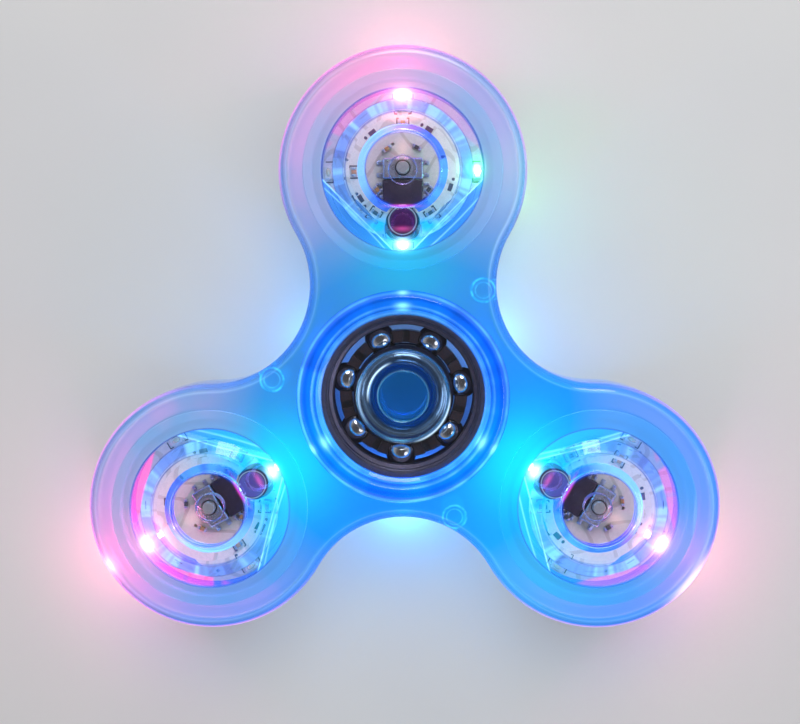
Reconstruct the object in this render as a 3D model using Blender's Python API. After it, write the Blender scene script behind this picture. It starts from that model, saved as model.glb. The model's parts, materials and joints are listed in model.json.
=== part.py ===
"""Light-up fidget spinner: a clear three-lobed body on a ball bearing, with a lamp capsule in each lobe.

Run with: blender --background --python part.py

Shapes are modelled in millimetres, and each finished mesh is scaled to metres once. The origin is the
centre of the bearing, +Z points out of the front, and the first lobe points along +Y. A capsule's own
frame has its origin on the capsule's axis, with +Y pointing away from the bearing.
"""

from math import acos, atan2, cos, degrees, pi, radians, sin

import bmesh
import bpy
from mathutils import Matrix

MM = 0.001
MERGE = 0.0005
SHARP_ANGLE = radians(35)
PAST = 1.0  # how far a cutting shape reaches past the face it cuts
SUNK = 0.2  # how far a joined shape reaches into the one it joins

# Body outline, seen from the front
LOBES = 3
FIRST_LOBE = 90.0
LOBE_PITCH = 360.0 / LOBES
LOBE_DISTANCE = 28.2
LOBE_RADIUS = 15.6
WAIST_DISTANCE = 15.5
LOBE_SEGMENTS = 16
WAIST_SEGMENTS = 6

# Half shells
SHELL_FACE = 5.0
SHELL_WALL = 1.1
SHELL_SKIN = 1.3
SHELL_EDGE = 1.4
EDGE_SEGMENTS = 3
SEAM = 0.05
SOCKET_RADIUS = 11.4
SOCKET_WALL = 1.2
SEAT_RADIUS = 11.05
SEAT_DEPTH = 3.55
SEAT_WALL = 1.35
LIP_RADIUS = 10.45
BOSS_RADIUS = 1.47
BOSS_DISTANCE = 16.6
BOSS_OFFSET = 22.8
BOSS_START = 0.15
PEG_RADIUS = 0.9
PEG_LENGTH = 2.4
PEG_ROOT = 1.0
PEG_HOLE_RADIUS = 1.0
PEG_HOLE_DEPTH = 2.7
PILLAR_TOP = 4.3

# Ball bearing, 8 x 22 x 7
RACE_HALF_WIDTH = 3.5
RACE_OUTER = 11.0
OUTER_SHOULDER = 8.85
INNER_SHOULDER = 6.3
RACE_BORE = 4.0
RACE_CHAMFER = 0.3
BALLS = 7
BALL_PITCH = 7.5
BALL_RADIUS = 1.984
FIRST_BALL = 10.4
GROOVE_RADIUS = 2.2
GROOVE_SEGMENTS = 4
CAGE_INNER = 6.5
CAGE_OUTER = 8.1
CAGE_BACK = -2.7
CAGE_FRONT = 1.2
POCKET_RADIUS = 2.2

# Finger caps
CAP_UNDERSIDE = 5.3
CAP_PLATE = 6.15
CAP_RIM_TOP = 7.4
CAP_RADIUS = 13.3
CAP_RIM_CHAMFER = 0.6
CAP_RIM_FLAT = (1.9, 0.7)  # inset of the rim's flat top at its inner and its outer edge
CAP_DISH = (3.1, 2.7, 0.15)  # inset of the plate's edge, then the inset and height of the rim's foot
STEM_RADIUS = 3.93
STEM_BORE = 3.3
STEM_END = 0.25
STEM_SHOULDER = 5.7
SHOULDER_GAP = 0.06

# Lamp capsule
LENS_RADIUS = 11.3
LENS_INNER = 10.35
LIP_OUTER = 12.4
LIP_UNDERSIDE = 5.08
LIP_FACE = 5.65
LIP_EDGE = (0.3, 0.25)
LENS_END = -0.55
LENS_CEILING = 4.6
PLATEAU_TOP = 6.75
PLATEAU_RADIUS = 7.15
PLATEAU_FOOT = 8.65
PLATEAU_HOLLOW = ((6.6, 5.45), (8.0, LENS_CEILING))
WINDOW_RADIUS = 4.85
BUTTON_RADIUS = 4.72
BUTTON_TOP = 7.16
BUTTON_CROWN = ((4.72, 6.8), (4.47, 7.0), (2.4, 7.12))
BUTTON_HOLLOW = (4.65, 4.9)
BUTTON_FLANGE = 5.65
FLANGE_HEIGHTS = (3.7, 5.35)
FLANGE_NOTCH = 0.3
NOTCH_HEIGHTS = (2.7, 5.4)
BUTTON_STEM = 1.75
BUTTON_BOTTOM = 3.35
SCREW_OFFSET = -6.7
LENS_BOSS_RADIUS = 2.15
LENS_BOSS_END = -3.5
LENS_BOSS_TOP = 5.53
PILOT_RADIUS = 1.45
PILOT_TOP = 2.9
BOSS_RELIEF = 3.0
BOARD_RADIUS = 10.15
BOARD_CUT = 7.9
BOARD_BOTTOM = 0.3
BOARD_TOP = 1.1
BOARD_HOLE_RADIUS = 2.3
SOLDER_GAP = 0.05
TAB_SPOT = (7.87, 4.3)
TAB_SIZE = (0.25, 1.4)
TAB_FOOT_SPOT = (3.5, 4.3)
TAB_FOOT_SIZE = (9.0, 1.3)
TAB_OVERLAP = 0.05
LAMP_DISTANCE = 9.45
LAMP_SIZE = (1.6, 0.8, 0.6)
SWITCH_SIZE = (4.8, 2.5)
SWITCH_CENTRE = 0.35
SWITCH_TOP = 2.6
SWITCH_WELL = (0.95, 1.5)  # radius of the plunger's well, and the height of its floor
PLUNGER_RADIUS = 0.8
PLUNGER_HEIGHTS = (2.1, 3.3)
CHIP_SIZE = (4.9, 3.2)
CHIP_CENTRE = -2.65
CHIP_TOP = 2.3
CELL_RADIUS = 3.95
CELL_TOP = 0.2
CELL_BOTTOM = -3.4
CELL_EDGE = 0.25
CELL_SHOULDER = (0.6, 0.4)
CELL_SPOTS = ((0.0, 5.43), (-4.05, -1.59), (4.05, -1.59))
COVER_SPIGOT = 10.25
COVER_INNER = 9.6
COVER_FLOOR = -4.5
COVER_SPIGOT_TOP = 0.22
COVER_LENS_GAP = 0.1
COVER_BOSS_RADIUS = 3.0
COVER_BOSS_TOP = -3.6
COVER_HOLE_RADIUS = 1.5
CELL_PAD_RADIUS = 0.8
CELL_PAD_TOP = -3.8
STRIP_SPOT = (0.0, -1.6)
STRIP_SIZE = (11.0, 2.0)
STRIP_TOP = -3.5
STRIP_THICKNESS = 0.2
SCREW_HEAD_RADIUS = 2.3
SCREW_HEAD_BOTTOM = -5.5
SCREW_HEAD_TOP = -4.48
SCREW_HEAD_EDGE = (0.5, 0.4)
SCREW_SHANK_RADIUS = 1.35
SCREW_END = 2.6
SCREW_POINT = (0.4, 0.7)
SCREW_SLOT = (2.6, 0.55)
SCREW_SLOT_DEPTH = 0.6
COUNTERBORE_RADIUS = 2.5
COUNTERBORE_DEPTH = -4.4

ROUND_STEPS = 24
CAPSULE_STEPS = 20
SMALL_STEPS = 12
PAD_STEPS = 8
BALL_STEPS = (10, 7)
BOARD_ARC_STEPS = (20, 2)


# Outlines

def arc(centre, radius, start, end, steps):
    """Points along an arc between two angles in degrees, both ends included."""
    angles = [radians(start + (end - start) * step / steps) for step in range(steps + 1)]
    return [(centre[0] + radius * cos(angle), centre[1] + radius * sin(angle)) for angle in angles]


def polar(radius, angle):
    """The point at this distance and angle in degrees from the origin."""
    return radius * cos(radians(angle)), radius * sin(radians(angle))


def lobe_heading(lobe):
    return FIRST_LOBE + LOBE_PITCH * lobe


def trefoil(inset):
    """The body's outline moved inwards: a convex arc round each lobe joined by tangent concave waists."""
    waist_radius = (
        (WAIST_DISTANCE**2 + LOBE_DISTANCE**2 - WAIST_DISTANCE * LOBE_DISTANCE - LOBE_RADIUS**2)
        / (2 * LOBE_RADIUS + LOBE_DISTANCE - 2 * WAIST_DISTANCE)
    )
    waist_centre = WAIST_DISTANCE + waist_radius
    half_pitch = radians(LOBE_PITCH / 2)
    lobe_half = 90 - degrees(
        atan2(waist_centre * cos(half_pitch) - LOBE_DISTANCE, waist_centre * sin(half_pitch))
    )
    waist_half = lobe_half - LOBE_PITCH / 2
    points = []
    for lobe in range(LOBES):
        heading = lobe_heading(lobe)
        centre = polar(LOBE_DISTANCE, heading)
        start, end = heading - lobe_half, heading + lobe_half
        points += arc(centre, LOBE_RADIUS - inset, start, end, LOBE_SEGMENTS)[:-1]
        bisector = heading + LOBE_PITCH / 2
        centre = polar(waist_centre, bisector)
        start, end = bisector + 180 + waist_half, bisector + 180 - waist_half
        points += arc(centre, waist_radius + inset, start, end, WAIST_SEGMENTS)[:-1]
    return points


# Solids, as mesh data in millimetres

def mesh_from(shape):
    """Turns a bmesh into mesh data, with coincident points merged and its faces pointing out."""
    bmesh.ops.remove_doubles(shape, verts=shape.verts, dist=MERGE)
    bmesh.ops.recalc_face_normals(shape, faces=shape.faces)
    mesh = bpy.data.meshes.new("solid")
    shape.to_mesh(mesh)
    shape.free()
    return mesh


def lathe(profile, steps):
    """Turns a closed (radius, height) profile about Z; points at radius 0 meet on the axis."""
    shape = bmesh.new()
    points = [shape.verts.new((radius, 0.0, height)) for radius, height in profile]
    edges = [shape.edges.new(pair) for pair in zip(points, points[1:])]
    if profile[0][0] > 0:
        edges.append(shape.edges.new((points[-1], points[0])))
    bmesh.ops.spin(
        shape, geom=points + edges, cent=(0, 0, 0), axis=(0, 0, 1), angle=2 * pi, steps=steps, use_merge=True
    )
    return mesh_from(shape)


def loft(sections):
    """Joins outlines with equally many points, each given with its height, and closes both ends."""
    shape = bmesh.new()
    rings = [[shape.verts.new((x, y, height)) for x, y in outline] for outline, height in sections]
    for lower, upper in zip(rings, rings[1:]):
        for index in range(len(lower)):
            shape.faces.new((lower[index - 1], lower[index], upper[index], upper[index - 1]))
    shape.faces.new(rings[0])
    shape.faces.new(rings[-1])
    return mesh_from(shape)


def prism(outline, bottom, top):
    return loft([(outline, bottom), (outline, top)])


def cylinder(centre, radius, bottom, top, steps=SMALL_STEPS):
    return prism(arc(centre, radius, 0, 360, steps)[:-1], bottom, top)


def box(centre, size, bottom, top):
    """A box given by the centre and size of its plan and by its heights."""
    corners = ((-1, -1), (1, -1), (1, 1), (-1, 1))
    outline = [(centre[0] + x * size[0] / 2, centre[1] + y * size[1] / 2) for x, y in corners]
    return prism(outline, bottom, top)


def ball(radius, centre=(0.0, 0.0)):
    shape = bmesh.new()
    spot = Matrix.Translation((centre[0], centre[1], 0.0))
    around, rows = BALL_STEPS
    bmesh.ops.create_uvsphere(shape, u_segments=around, v_segments=rows, radius=radius, matrix=spot)
    return mesh_from(shape)


def group(meshes):
    """One mesh that holds several separate shapes, for a Boolean step."""
    shape = bmesh.new()
    for mesh in meshes:
        shape.from_mesh(mesh)
    return mesh_from(shape)


def in_capsules(mesh):
    """One copy of a capsule-frame shape in each lobe, as a single mesh in the body's frame."""
    copies = []
    for lobe in range(LOBES):
        copy = mesh.copy()
        copy.transform(capsule_place(lobe, 1.0))
        copies.append(copy)
    return group(copies)


def boolean(operation, base, tool):
    """One Boolean step between two meshes; points that it leaves on top of each other are merged."""
    pair = [bpy.data.objects.new("base", base), bpy.data.objects.new("tool", tool)]
    for helper in pair:
        bpy.context.scene.collection.objects.link(helper)
    step = pair[0].modifiers.new("step", "BOOLEAN")
    step.operation = operation
    step.solver = "EXACT"
    step.object = pair[1]
    graph = bpy.context.evaluated_depsgraph_get()
    result = bmesh.new()
    result.from_mesh(pair[0].evaluated_get(graph).data)
    for helper in pair:
        bpy.data.objects.remove(helper)
    return mesh_from(result)


def combine(mesh, *steps):
    """Applies Boolean steps, each an operation and a tool mesh, one after the other."""
    for operation, tool in steps:
        mesh = boolean(operation, mesh, tool)
    return mesh


def mirrored(mesh):
    """The same shape on the other side of the seam plane."""
    copy = mesh.copy()
    copy.transform(Matrix.Diagonal((1, 1, -1, 1)))
    copy.flip_normals()
    return copy


# Placing

def capsule_place(lobe, scale):
    """The capsule frame of a lobe: away from the bearing becomes +Y."""
    x, y = polar(LOBE_DISTANCE * scale, lobe_heading(lobe))
    return Matrix.Translation((x, y, 0.0)) @ Matrix.Rotation(radians(lobe_heading(lobe) - 90), 4, "Z")


def material(name, color, roughness, metallic=0.0, transmission=0.0, glow=0.0):
    surface = bpy.data.materials.new(name)
    surface.use_nodes = True
    surface.diffuse_color = (*color, 1.0)
    shader = surface.node_tree.nodes["Principled BSDF"]
    shader.inputs["Base Color"].default_value = (*color, 1.0)
    shader.inputs["Roughness"].default_value = roughness
    shader.inputs["Metallic"].default_value = metallic
    shader.inputs["Transmission Weight"].default_value = transmission
    shader.inputs["Emission Color"].default_value = (*color, 1.0)
    shader.inputs["Emission Strength"].default_value = glow
    return surface


def finished(mesh, surface):
    """Scales a solid to metres, shades it smooth across its soft edges and gives it its material."""
    mesh.transform(Matrix.Scale(MM, 4))
    mesh.shade_smooth()
    mesh.set_sharp_from_angle(angle=SHARP_ANGLE)
    mesh.materials.clear()
    mesh.materials.append(surface)
    return mesh


def empty(name, parent=None, place=None):
    frame = bpy.data.objects.new(name, None)
    frame.parent = parent
    if place:
        frame.matrix_local = place
    bpy.context.scene.collection.objects.link(frame)
    return frame


def put(name, mesh, parent, location=(0.0, 0.0, 0.0)):
    node = bpy.data.objects.new(name, mesh)
    node.parent = parent
    node.location = location
    bpy.context.scene.collection.objects.link(node)
    return node


# Body

def edge_sections():
    """The front half's outside: a straight wall from the seam, then a rounded edge up to the face."""
    sections = [(trefoil(0.0), SEAM)]
    for step in range(EDGE_SEGMENTS + 1):
        angle = radians(90 * step / EDGE_SEGMENTS)
        inset = SHELL_EDGE * (1 - cos(angle))
        height = SHELL_FACE - SHELL_EDGE * (1 - sin(angle))
        sections.append((trefoil(inset), height))
    return sections


def boss_spots():
    first_waist = FIRST_LOBE - LOBE_PITCH / 2
    return [polar(BOSS_DISTANCE, first_waist + BOSS_OFFSET + LOBE_PITCH * lobe) for lobe in range(LOBES)]


def plug(radius, bottom, top, steps):
    """A solid round bar about Z."""
    return lathe([(0, bottom), (radius, bottom), (radius, top), (0, top)], steps)


def half_shell(with_pegs):
    """Half of the body: hollow, with a capsule socket in each lobe, the bearing's seat, and locating bosses."""
    inside, below, above = SHELL_FACE - SHELL_SKIN, -PAST, SHELL_FACE + PAST
    cavity = prism(trefoil(SHELL_WALL), below, inside)
    pillars = [cylinder((0, 0), SEAT_RADIUS + SEAT_WALL, SEAM, PILLAR_TOP, ROUND_STEPS)]
    pillars += [cylinder(spot, BOSS_RADIUS, BOSS_START, PILLAR_TOP) for spot in boss_spots()]
    pillars.append(in_capsules(plug(SOCKET_RADIUS + SOCKET_WALL, SEAM, PILLAR_TOP, CAPSULE_STEPS)))
    seat = lathe(
        [
            (0, below), (SEAT_RADIUS, below), (SEAT_RADIUS, SEAT_DEPTH), (LIP_RADIUS, SEAT_DEPTH),
            (LIP_RADIUS, above), (0, above),
        ],
        ROUND_STEPS,
    )
    sockets = in_capsules(plug(SOCKET_RADIUS, below, above, CAPSULE_STEPS))
    steps = [("DIFFERENCE", cavity), ("UNION", group(pillars)), ("DIFFERENCE", seat), ("DIFFERENCE", sockets)]
    if with_pegs:
        pegs = [cylinder(spot, PEG_RADIUS, -PEG_LENGTH, PEG_ROOT) for spot in boss_spots()]
        steps.append(("UNION", group(pegs)))
    else:
        holes = [cylinder(spot, PEG_HOLE_RADIUS, below, PEG_HOLE_DEPTH) for spot in boss_spots()]
        steps.append(("DIFFERENCE", group(holes)))
    return combine(loft(edge_sections()), *steps)


# Bearing

def groove(shoulder, turn):
    """Ball track on a race, from its lower to its upper edge; turn is 0 on the outer race, 180 on the inner."""
    half = degrees(acos(abs(shoulder - BALL_PITCH) / GROOVE_RADIUS))
    return arc((BALL_PITCH, 0.0), GROOVE_RADIUS, turn - half, turn + half, GROOVE_SEGMENTS)


def outer_race():
    top, edge = RACE_HALF_WIDTH, RACE_CHAMFER
    profile = [(OUTER_SHOULDER, -top), (RACE_OUTER - edge, -top), (RACE_OUTER, edge - top)]
    profile += [(RACE_OUTER, top - edge), (RACE_OUTER - edge, top), (OUTER_SHOULDER, top)]
    return lathe(profile + groove(OUTER_SHOULDER, 0)[::-1], ROUND_STEPS)


def inner_race():
    top, edge = RACE_HALF_WIDTH, RACE_CHAMFER
    profile = [(INNER_SHOULDER, top), (RACE_BORE + edge, top), (RACE_BORE, top - edge)]
    profile += [(RACE_BORE, edge - top), (RACE_BORE + edge, -top), (INNER_SHOULDER, -top)]
    return lathe(profile + groove(INNER_SHOULDER, 180)[::-1], ROUND_STEPS)


def ball_spot(number):
    return polar(BALL_PITCH, FIRST_BALL + 360 * number / BALLS)


def cage():
    """Crown cage: a ring behind the balls with an open-fronted pocket round each."""
    ring = lathe(
        [(CAGE_INNER, CAGE_BACK), (CAGE_OUTER, CAGE_BACK), (CAGE_OUTER, CAGE_FRONT), (CAGE_INNER, CAGE_FRONT)],
        ROUND_STEPS,
    )
    pockets = group([ball(POCKET_RADIUS, ball_spot(number)) for number in range(BALLS)])
    return combine(ring, ("DIFFERENCE", pockets))


# Finger cap

def finger_cap():
    """Dished plate with a thick rim, and a hollow stem that fills the bearing's bore."""
    rim, under, shoulder = CAP_RADIUS, CAP_UNDERSIDE, RACE_HALF_WIDTH + SHOULDER_GAP
    flat_inner, flat_outer = CAP_RIM_FLAT
    plate_edge, foot, foot_height = CAP_DISH
    stem = [
        (0, under), (STEM_BORE, under), (STEM_BORE, STEM_END), (STEM_RADIUS, STEM_END),
        (STEM_RADIUS, shoulder), (STEM_SHOULDER, shoulder), (STEM_SHOULDER, under),
    ]
    edge = [
        (rim - CAP_RIM_CHAMFER, under), (rim, under + CAP_RIM_CHAMFER), (rim, CAP_RIM_TOP - flat_outer),
        (rim - flat_outer, CAP_RIM_TOP), (rim - flat_inner, CAP_RIM_TOP),
        (rim - foot, CAP_PLATE + foot_height), (rim - plate_edge, CAP_PLATE), (0, CAP_PLATE),
    ]
    return lathe(stem + edge, ROUND_STEPS)


# Capsule parts, in the capsule's frame

def lens():
    """Front of the capsule: skirt, seating lip, raised plateau round the button, and the screw's boss."""
    edge_in, edge_down = LIP_EDGE
    outside = [
        (LENS_RADIUS, LENS_END), (LENS_RADIUS, LIP_UNDERSIDE), (LIP_OUTER, LIP_UNDERSIDE),
        (LIP_OUTER, LIP_FACE - edge_down), (LIP_OUTER - edge_in, LIP_FACE), (PLATEAU_FOOT, LIP_FACE),
        (PLATEAU_RADIUS, PLATEAU_TOP), (WINDOW_RADIUS, PLATEAU_TOP),
    ]
    inside = [(WINDOW_RADIUS, PLATEAU_HOLLOW[0][1]), *PLATEAU_HOLLOW]
    inside += [(LENS_INNER, LENS_CEILING), (LENS_INNER, LENS_END)]
    shell = lathe(outside + inside, CAPSULE_STEPS)
    spot = (0.0, SCREW_OFFSET)
    relief = cylinder((0, 0), WINDOW_RADIUS, BOSS_RELIEF, PLATEAU_TOP + PAST, CAPSULE_STEPS)
    boss = combine(cylinder(spot, LENS_BOSS_RADIUS, LENS_BOSS_END, LENS_BOSS_TOP), ("DIFFERENCE", relief))
    pilot = cylinder(spot, PILOT_RADIUS, LENS_BOSS_END - PAST, PILOT_TOP)
    return combine(shell, ("UNION", boss), ("DIFFERENCE", pilot))


def button():
    """Push button: a thick clear plate, a wider skirt that can't pass the window, and a stem."""
    flange_bottom, flange_top = FLANGE_HEIGHTS
    stem = [(0, BUTTON_BOTTOM), (BUTTON_STEM, BUTTON_BOTTOM), (BUTTON_STEM, BUTTON_HOLLOW[1]), BUTTON_HOLLOW]
    flange = [(BUTTON_HOLLOW[0], flange_bottom), (BUTTON_FLANGE, flange_bottom), (BUTTON_FLANGE, flange_top)]
    crown = [(BUTTON_RADIUS, flange_top), *BUTTON_CROWN, (0, BUTTON_TOP)]
    plate = lathe(stem + flange + crown, CAPSULE_STEPS)
    notch = cylinder((0.0, SCREW_OFFSET), LENS_BOSS_RADIUS + FLANGE_NOTCH, *NOTCH_HEIGHTS)
    return combine(plate, ("DIFFERENCE", notch))


def switch_body():
    spot = (0.0, SWITCH_CENTRE)
    case = box(spot, SWITCH_SIZE, BOARD_TOP + SOLDER_GAP, SWITCH_TOP)
    well_radius, well_floor = SWITCH_WELL
    return combine(case, ("DIFFERENCE", cylinder(spot, well_radius, well_floor, SWITCH_TOP + PAST)))


def switch_plunger():
    return cylinder((0.0, SWITCH_CENTRE), PLUNGER_RADIUS, *PLUNGER_HEIGHTS)


def board():
    """Round circuit board with two straight cuts beside the screw, and a spring tab down to the first cell."""
    half = degrees(acos(BOARD_CUT / BOARD_RADIUS))
    wide_steps, narrow_steps = BOARD_ARC_STEPS
    outline = arc((0, 0), BOARD_RADIUS, half - 45, 225 - half, wide_steps)
    outline += arc((0, 0), BOARD_RADIUS, 225 + half, 315 - half, narrow_steps)
    plate = prism(outline, BOARD_BOTTOM, BOARD_TOP)
    screw_hole = cylinder((0.0, SCREW_OFFSET), BOARD_HOLE_RADIUS, BOARD_BOTTOM - PAST, BOARD_TOP + PAST)
    tab_bottom = STRIP_TOP - STRIP_THICKNESS
    post = box(TAB_SPOT, TAB_SIZE, tab_bottom + TAB_OVERLAP, BOARD_BOTTOM + TAB_OVERLAP)
    foot = box(TAB_FOOT_SPOT, TAB_FOOT_SIZE, tab_bottom, STRIP_TOP)
    return combine(plate, ("DIFFERENCE", screw_hole), ("UNION", post), ("UNION", foot))


def lamp(angle):
    """Surface-mount lamp at the board's edge, with its long side along the edge."""
    length, width, height = LAMP_SIZE
    package = box((LAMP_DISTANCE, 0.0), (width, length), BOARD_TOP + SOLDER_GAP, BOARD_TOP + height)
    package.transform(Matrix.Rotation(radians(angle), 4, "Z"))
    return package


def driver_chip():
    return box((0.0, CHIP_CENTRE), CHIP_SIZE, BOARD_TOP + SOLDER_GAP, CHIP_TOP)


def cell(spot):
    """Button cell with a bevelled can edge."""
    edge = CELL_EDGE
    shoulder_in, shoulder_down = CELL_SHOULDER
    can = lathe(
        [
            (0, CELL_BOTTOM), (CELL_RADIUS - edge, CELL_BOTTOM), (CELL_RADIUS, CELL_BOTTOM + edge),
            (CELL_RADIUS, CELL_TOP - shoulder_down), (CELL_RADIUS - shoulder_in, CELL_TOP), (0, CELL_TOP),
        ],
        SMALL_STEPS,
    )
    can.transform(Matrix.Translation((*spot, 0.0)))
    return can


def contact_strip():
    return box(STRIP_SPOT, STRIP_SIZE, STRIP_TOP - STRIP_THICKNESS, STRIP_TOP)


def battery_cover():
    """Back of the capsule: dish with a spigot inside the lens, a screw seat, and a pad under each cell."""
    edge_in, edge_up = LIP_EDGE
    wall_top = LENS_END - COVER_LENS_GAP
    outside = [
        (0, -LIP_FACE), (LIP_OUTER - edge_in, -LIP_FACE), (LIP_OUTER, edge_up - LIP_FACE),
        (LIP_OUTER, -LIP_UNDERSIDE), (LENS_RADIUS, -LIP_UNDERSIDE), (LENS_RADIUS, wall_top),
    ]
    spigot = [
        (COVER_SPIGOT, wall_top), (COVER_SPIGOT, COVER_SPIGOT_TOP), (COVER_INNER, COVER_SPIGOT_TOP),
        (COVER_INNER, COVER_FLOOR), (0, COVER_FLOOR),
    ]
    dish = lathe(outside + spigot, CAPSULE_STEPS)
    spot, root = (0.0, SCREW_OFFSET), COVER_FLOOR - SUNK
    seat = cylinder(spot, COVER_BOSS_RADIUS, root, COVER_BOSS_TOP)
    pads = group([cylinder(under, CELL_PAD_RADIUS, root, CELL_PAD_TOP, PAD_STEPS) for under in CELL_SPOTS])
    recess = cylinder(spot, COUNTERBORE_RADIUS, -LIP_FACE - PAST, COUNTERBORE_DEPTH)
    hole = cylinder(spot, COVER_HOLE_RADIUS, COUNTERBORE_DEPTH - SUNK, COVER_BOSS_TOP + PAST)
    return combine(dish, ("UNION", seat), ("UNION", pads), ("DIFFERENCE", recess), ("DIFFERENCE", hole))


def cover_screw():
    """Pan-head screw, head down, with a cross recess."""
    bottom = SCREW_HEAD_BOTTOM
    edge_in, edge_up = SCREW_HEAD_EDGE
    point_in, point_length = SCREW_POINT
    head = [
        (0, bottom), (SCREW_HEAD_RADIUS - edge_in, bottom), (SCREW_HEAD_RADIUS, bottom + edge_up),
        (SCREW_HEAD_RADIUS, SCREW_HEAD_TOP), (SCREW_SHANK_RADIUS, SCREW_HEAD_TOP),
    ]
    shank = [
        (SCREW_SHANK_RADIUS, SCREW_END - point_length), (SCREW_SHANK_RADIUS - point_in, SCREW_END),
        (0, SCREW_END),
    ]
    body = lathe(head + shank, SMALL_STEPS)
    sizes = (SCREW_SLOT, SCREW_SLOT[::-1])
    slots = [box((0, 0), size, bottom - PAST, bottom + SCREW_SLOT_DEPTH) for size in sizes]
    screw = combine(body, *[("DIFFERENCE", slot) for slot in slots])
    screw.transform(Matrix.Translation((0.0, SCREW_OFFSET, 0.0)))
    return screw


def capsule_parts(clear, lamps):
    """Every capsule piece that doesn't move, by name, with its finished mesh, shared by the three capsules."""
    white = material("switch_white", (0.85, 0.85, 0.82), 0.45)
    parts = {
        "pod_lens": finished(lens(), clear),
        "circuit_board": finished(board(), material("board_white", (0.86, 0.86, 0.84), 0.5)),
        "switch_body": finished(switch_body(), white),
        "driver_chip": finished(driver_chip(), material("chip_black", (0.02, 0.02, 0.03), 0.35)),
        "battery_cover": finished(battery_cover(), clear),
        "contact_strip": finished(contact_strip(), material("contact_metal", (0.75, 0.7, 0.55), 0.3, 1.0)),
        "cover_screw": finished(cover_screw(), material("screw_black", (0.03, 0.03, 0.035), 0.4, 0.6)),
    }
    steel = material("cell_steel", (0.72, 0.72, 0.7), 0.25, 1.0)
    for letter, spot in zip("abc", CELL_SPOTS):
        parts["cell_" + letter] = finished(cell(spot), steel)
    for color, angle in (("red", 90), ("green", 0), ("blue", 270)):
        parts["led_" + color] = finished(lamp(angle), lamps[color])
    return parts


def build():
    clear = material("clear_plastic", (0.85, 0.93, 1.0), 0.04, transmission=0.9)
    race_steel = material("race_steel", (0.5, 0.51, 0.53), 0.25, 1.0)
    ball_steel = material("ball_steel", (0.8, 0.8, 0.8), 0.08, 1.0)
    cage_dark = material("cage_dark", (0.03, 0.012, 0.015), 0.4)
    lamps = {
        "red": material("lamp_red", (1.0, 0.12, 0.3), 0.3, glow=4.0),
        "green": material("lamp_green", (0.1, 1.0, 0.35), 0.3, glow=4.0),
        "blue": material("lamp_blue", (0.05, 0.55, 1.0), 0.3, glow=4.0),
    }

    hub = empty("hub_axis")
    put("front_cap", finished(finger_cap(), clear), hub)
    put("rear_cap", finished(mirrored(finger_cap()), clear), hub)
    put("bearing_inner_race", finished(inner_race(), race_steel), hub)

    spinner = empty("spinner_axis")
    put("front_shell", finished(half_shell(with_pegs=True), clear), spinner)
    put("rear_shell", finished(mirrored(half_shell(with_pegs=False)), clear), spinner)
    put("bearing_outer_race", finished(outer_race(), race_steel), spinner)

    cage_axis = empty("cage_axis")
    put("bearing_cage", finished(cage(), cage_dark), cage_axis)
    ball_mesh = finished(ball(BALL_RADIUS), ball_steel)
    for number in range(BALLS):
        x, y = ball_spot(number)
        put(f"bearing_ball_{number + 1}", ball_mesh, cage_axis, (x * MM, y * MM, 0.0))

    fixed = capsule_parts(clear, lamps)
    button_mesh = finished(button(), clear)
    plunger_mesh = finished(switch_plunger(), material("plunger_grey", (0.35, 0.35, 0.37), 0.5))
    for lobe in range(LOBES):
        number = lobe + 1
        capsule = empty(f"capsule_axis_{number}", spinner, capsule_place(lobe, MM))
        for name, mesh in fixed.items():
            put(f"{name}_{number}", mesh, capsule)
        press = empty(f"press_axis_{number}", capsule)
        put(f"pod_button_{number}", button_mesh, press)
        put(f"switch_plunger_{number}", plunger_mesh, press)


for leftover in list(bpy.data.objects):
    bpy.data.objects.remove(leftover)
build()
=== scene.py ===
"""Looks of the light-up fidget spinner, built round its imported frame. Shapes are modelled in millimetres."""

import json
from math import acos, atan2, cos, degrees, hypot, pi, radians, sin, tan

import bmesh
import bpy
from mathutils import Matrix, Vector

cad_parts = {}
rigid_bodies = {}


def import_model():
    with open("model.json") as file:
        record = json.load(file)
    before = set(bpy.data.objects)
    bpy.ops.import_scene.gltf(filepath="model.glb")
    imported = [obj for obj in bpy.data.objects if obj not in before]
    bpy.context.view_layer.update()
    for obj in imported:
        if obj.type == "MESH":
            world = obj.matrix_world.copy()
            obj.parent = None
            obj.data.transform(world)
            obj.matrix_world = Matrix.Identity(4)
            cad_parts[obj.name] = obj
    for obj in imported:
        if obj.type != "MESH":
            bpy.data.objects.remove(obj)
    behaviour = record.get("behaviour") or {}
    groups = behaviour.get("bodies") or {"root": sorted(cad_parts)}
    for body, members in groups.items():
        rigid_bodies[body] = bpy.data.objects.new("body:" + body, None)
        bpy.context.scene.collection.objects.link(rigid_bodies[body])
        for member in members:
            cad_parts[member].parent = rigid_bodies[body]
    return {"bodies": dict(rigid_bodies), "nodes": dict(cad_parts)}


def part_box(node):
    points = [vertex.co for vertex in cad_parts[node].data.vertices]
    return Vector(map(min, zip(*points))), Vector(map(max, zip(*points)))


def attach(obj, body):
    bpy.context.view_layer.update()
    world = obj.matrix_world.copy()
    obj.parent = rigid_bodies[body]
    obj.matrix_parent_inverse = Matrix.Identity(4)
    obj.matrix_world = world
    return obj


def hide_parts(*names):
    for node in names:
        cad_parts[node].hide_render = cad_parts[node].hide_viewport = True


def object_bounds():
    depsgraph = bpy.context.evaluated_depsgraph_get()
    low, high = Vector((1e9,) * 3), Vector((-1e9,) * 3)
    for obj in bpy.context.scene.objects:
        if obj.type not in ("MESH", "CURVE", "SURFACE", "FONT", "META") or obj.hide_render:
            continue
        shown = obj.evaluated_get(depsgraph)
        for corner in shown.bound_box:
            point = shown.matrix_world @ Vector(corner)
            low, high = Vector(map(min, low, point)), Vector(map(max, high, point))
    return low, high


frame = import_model()
cad_low, cad_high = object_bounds()

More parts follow.
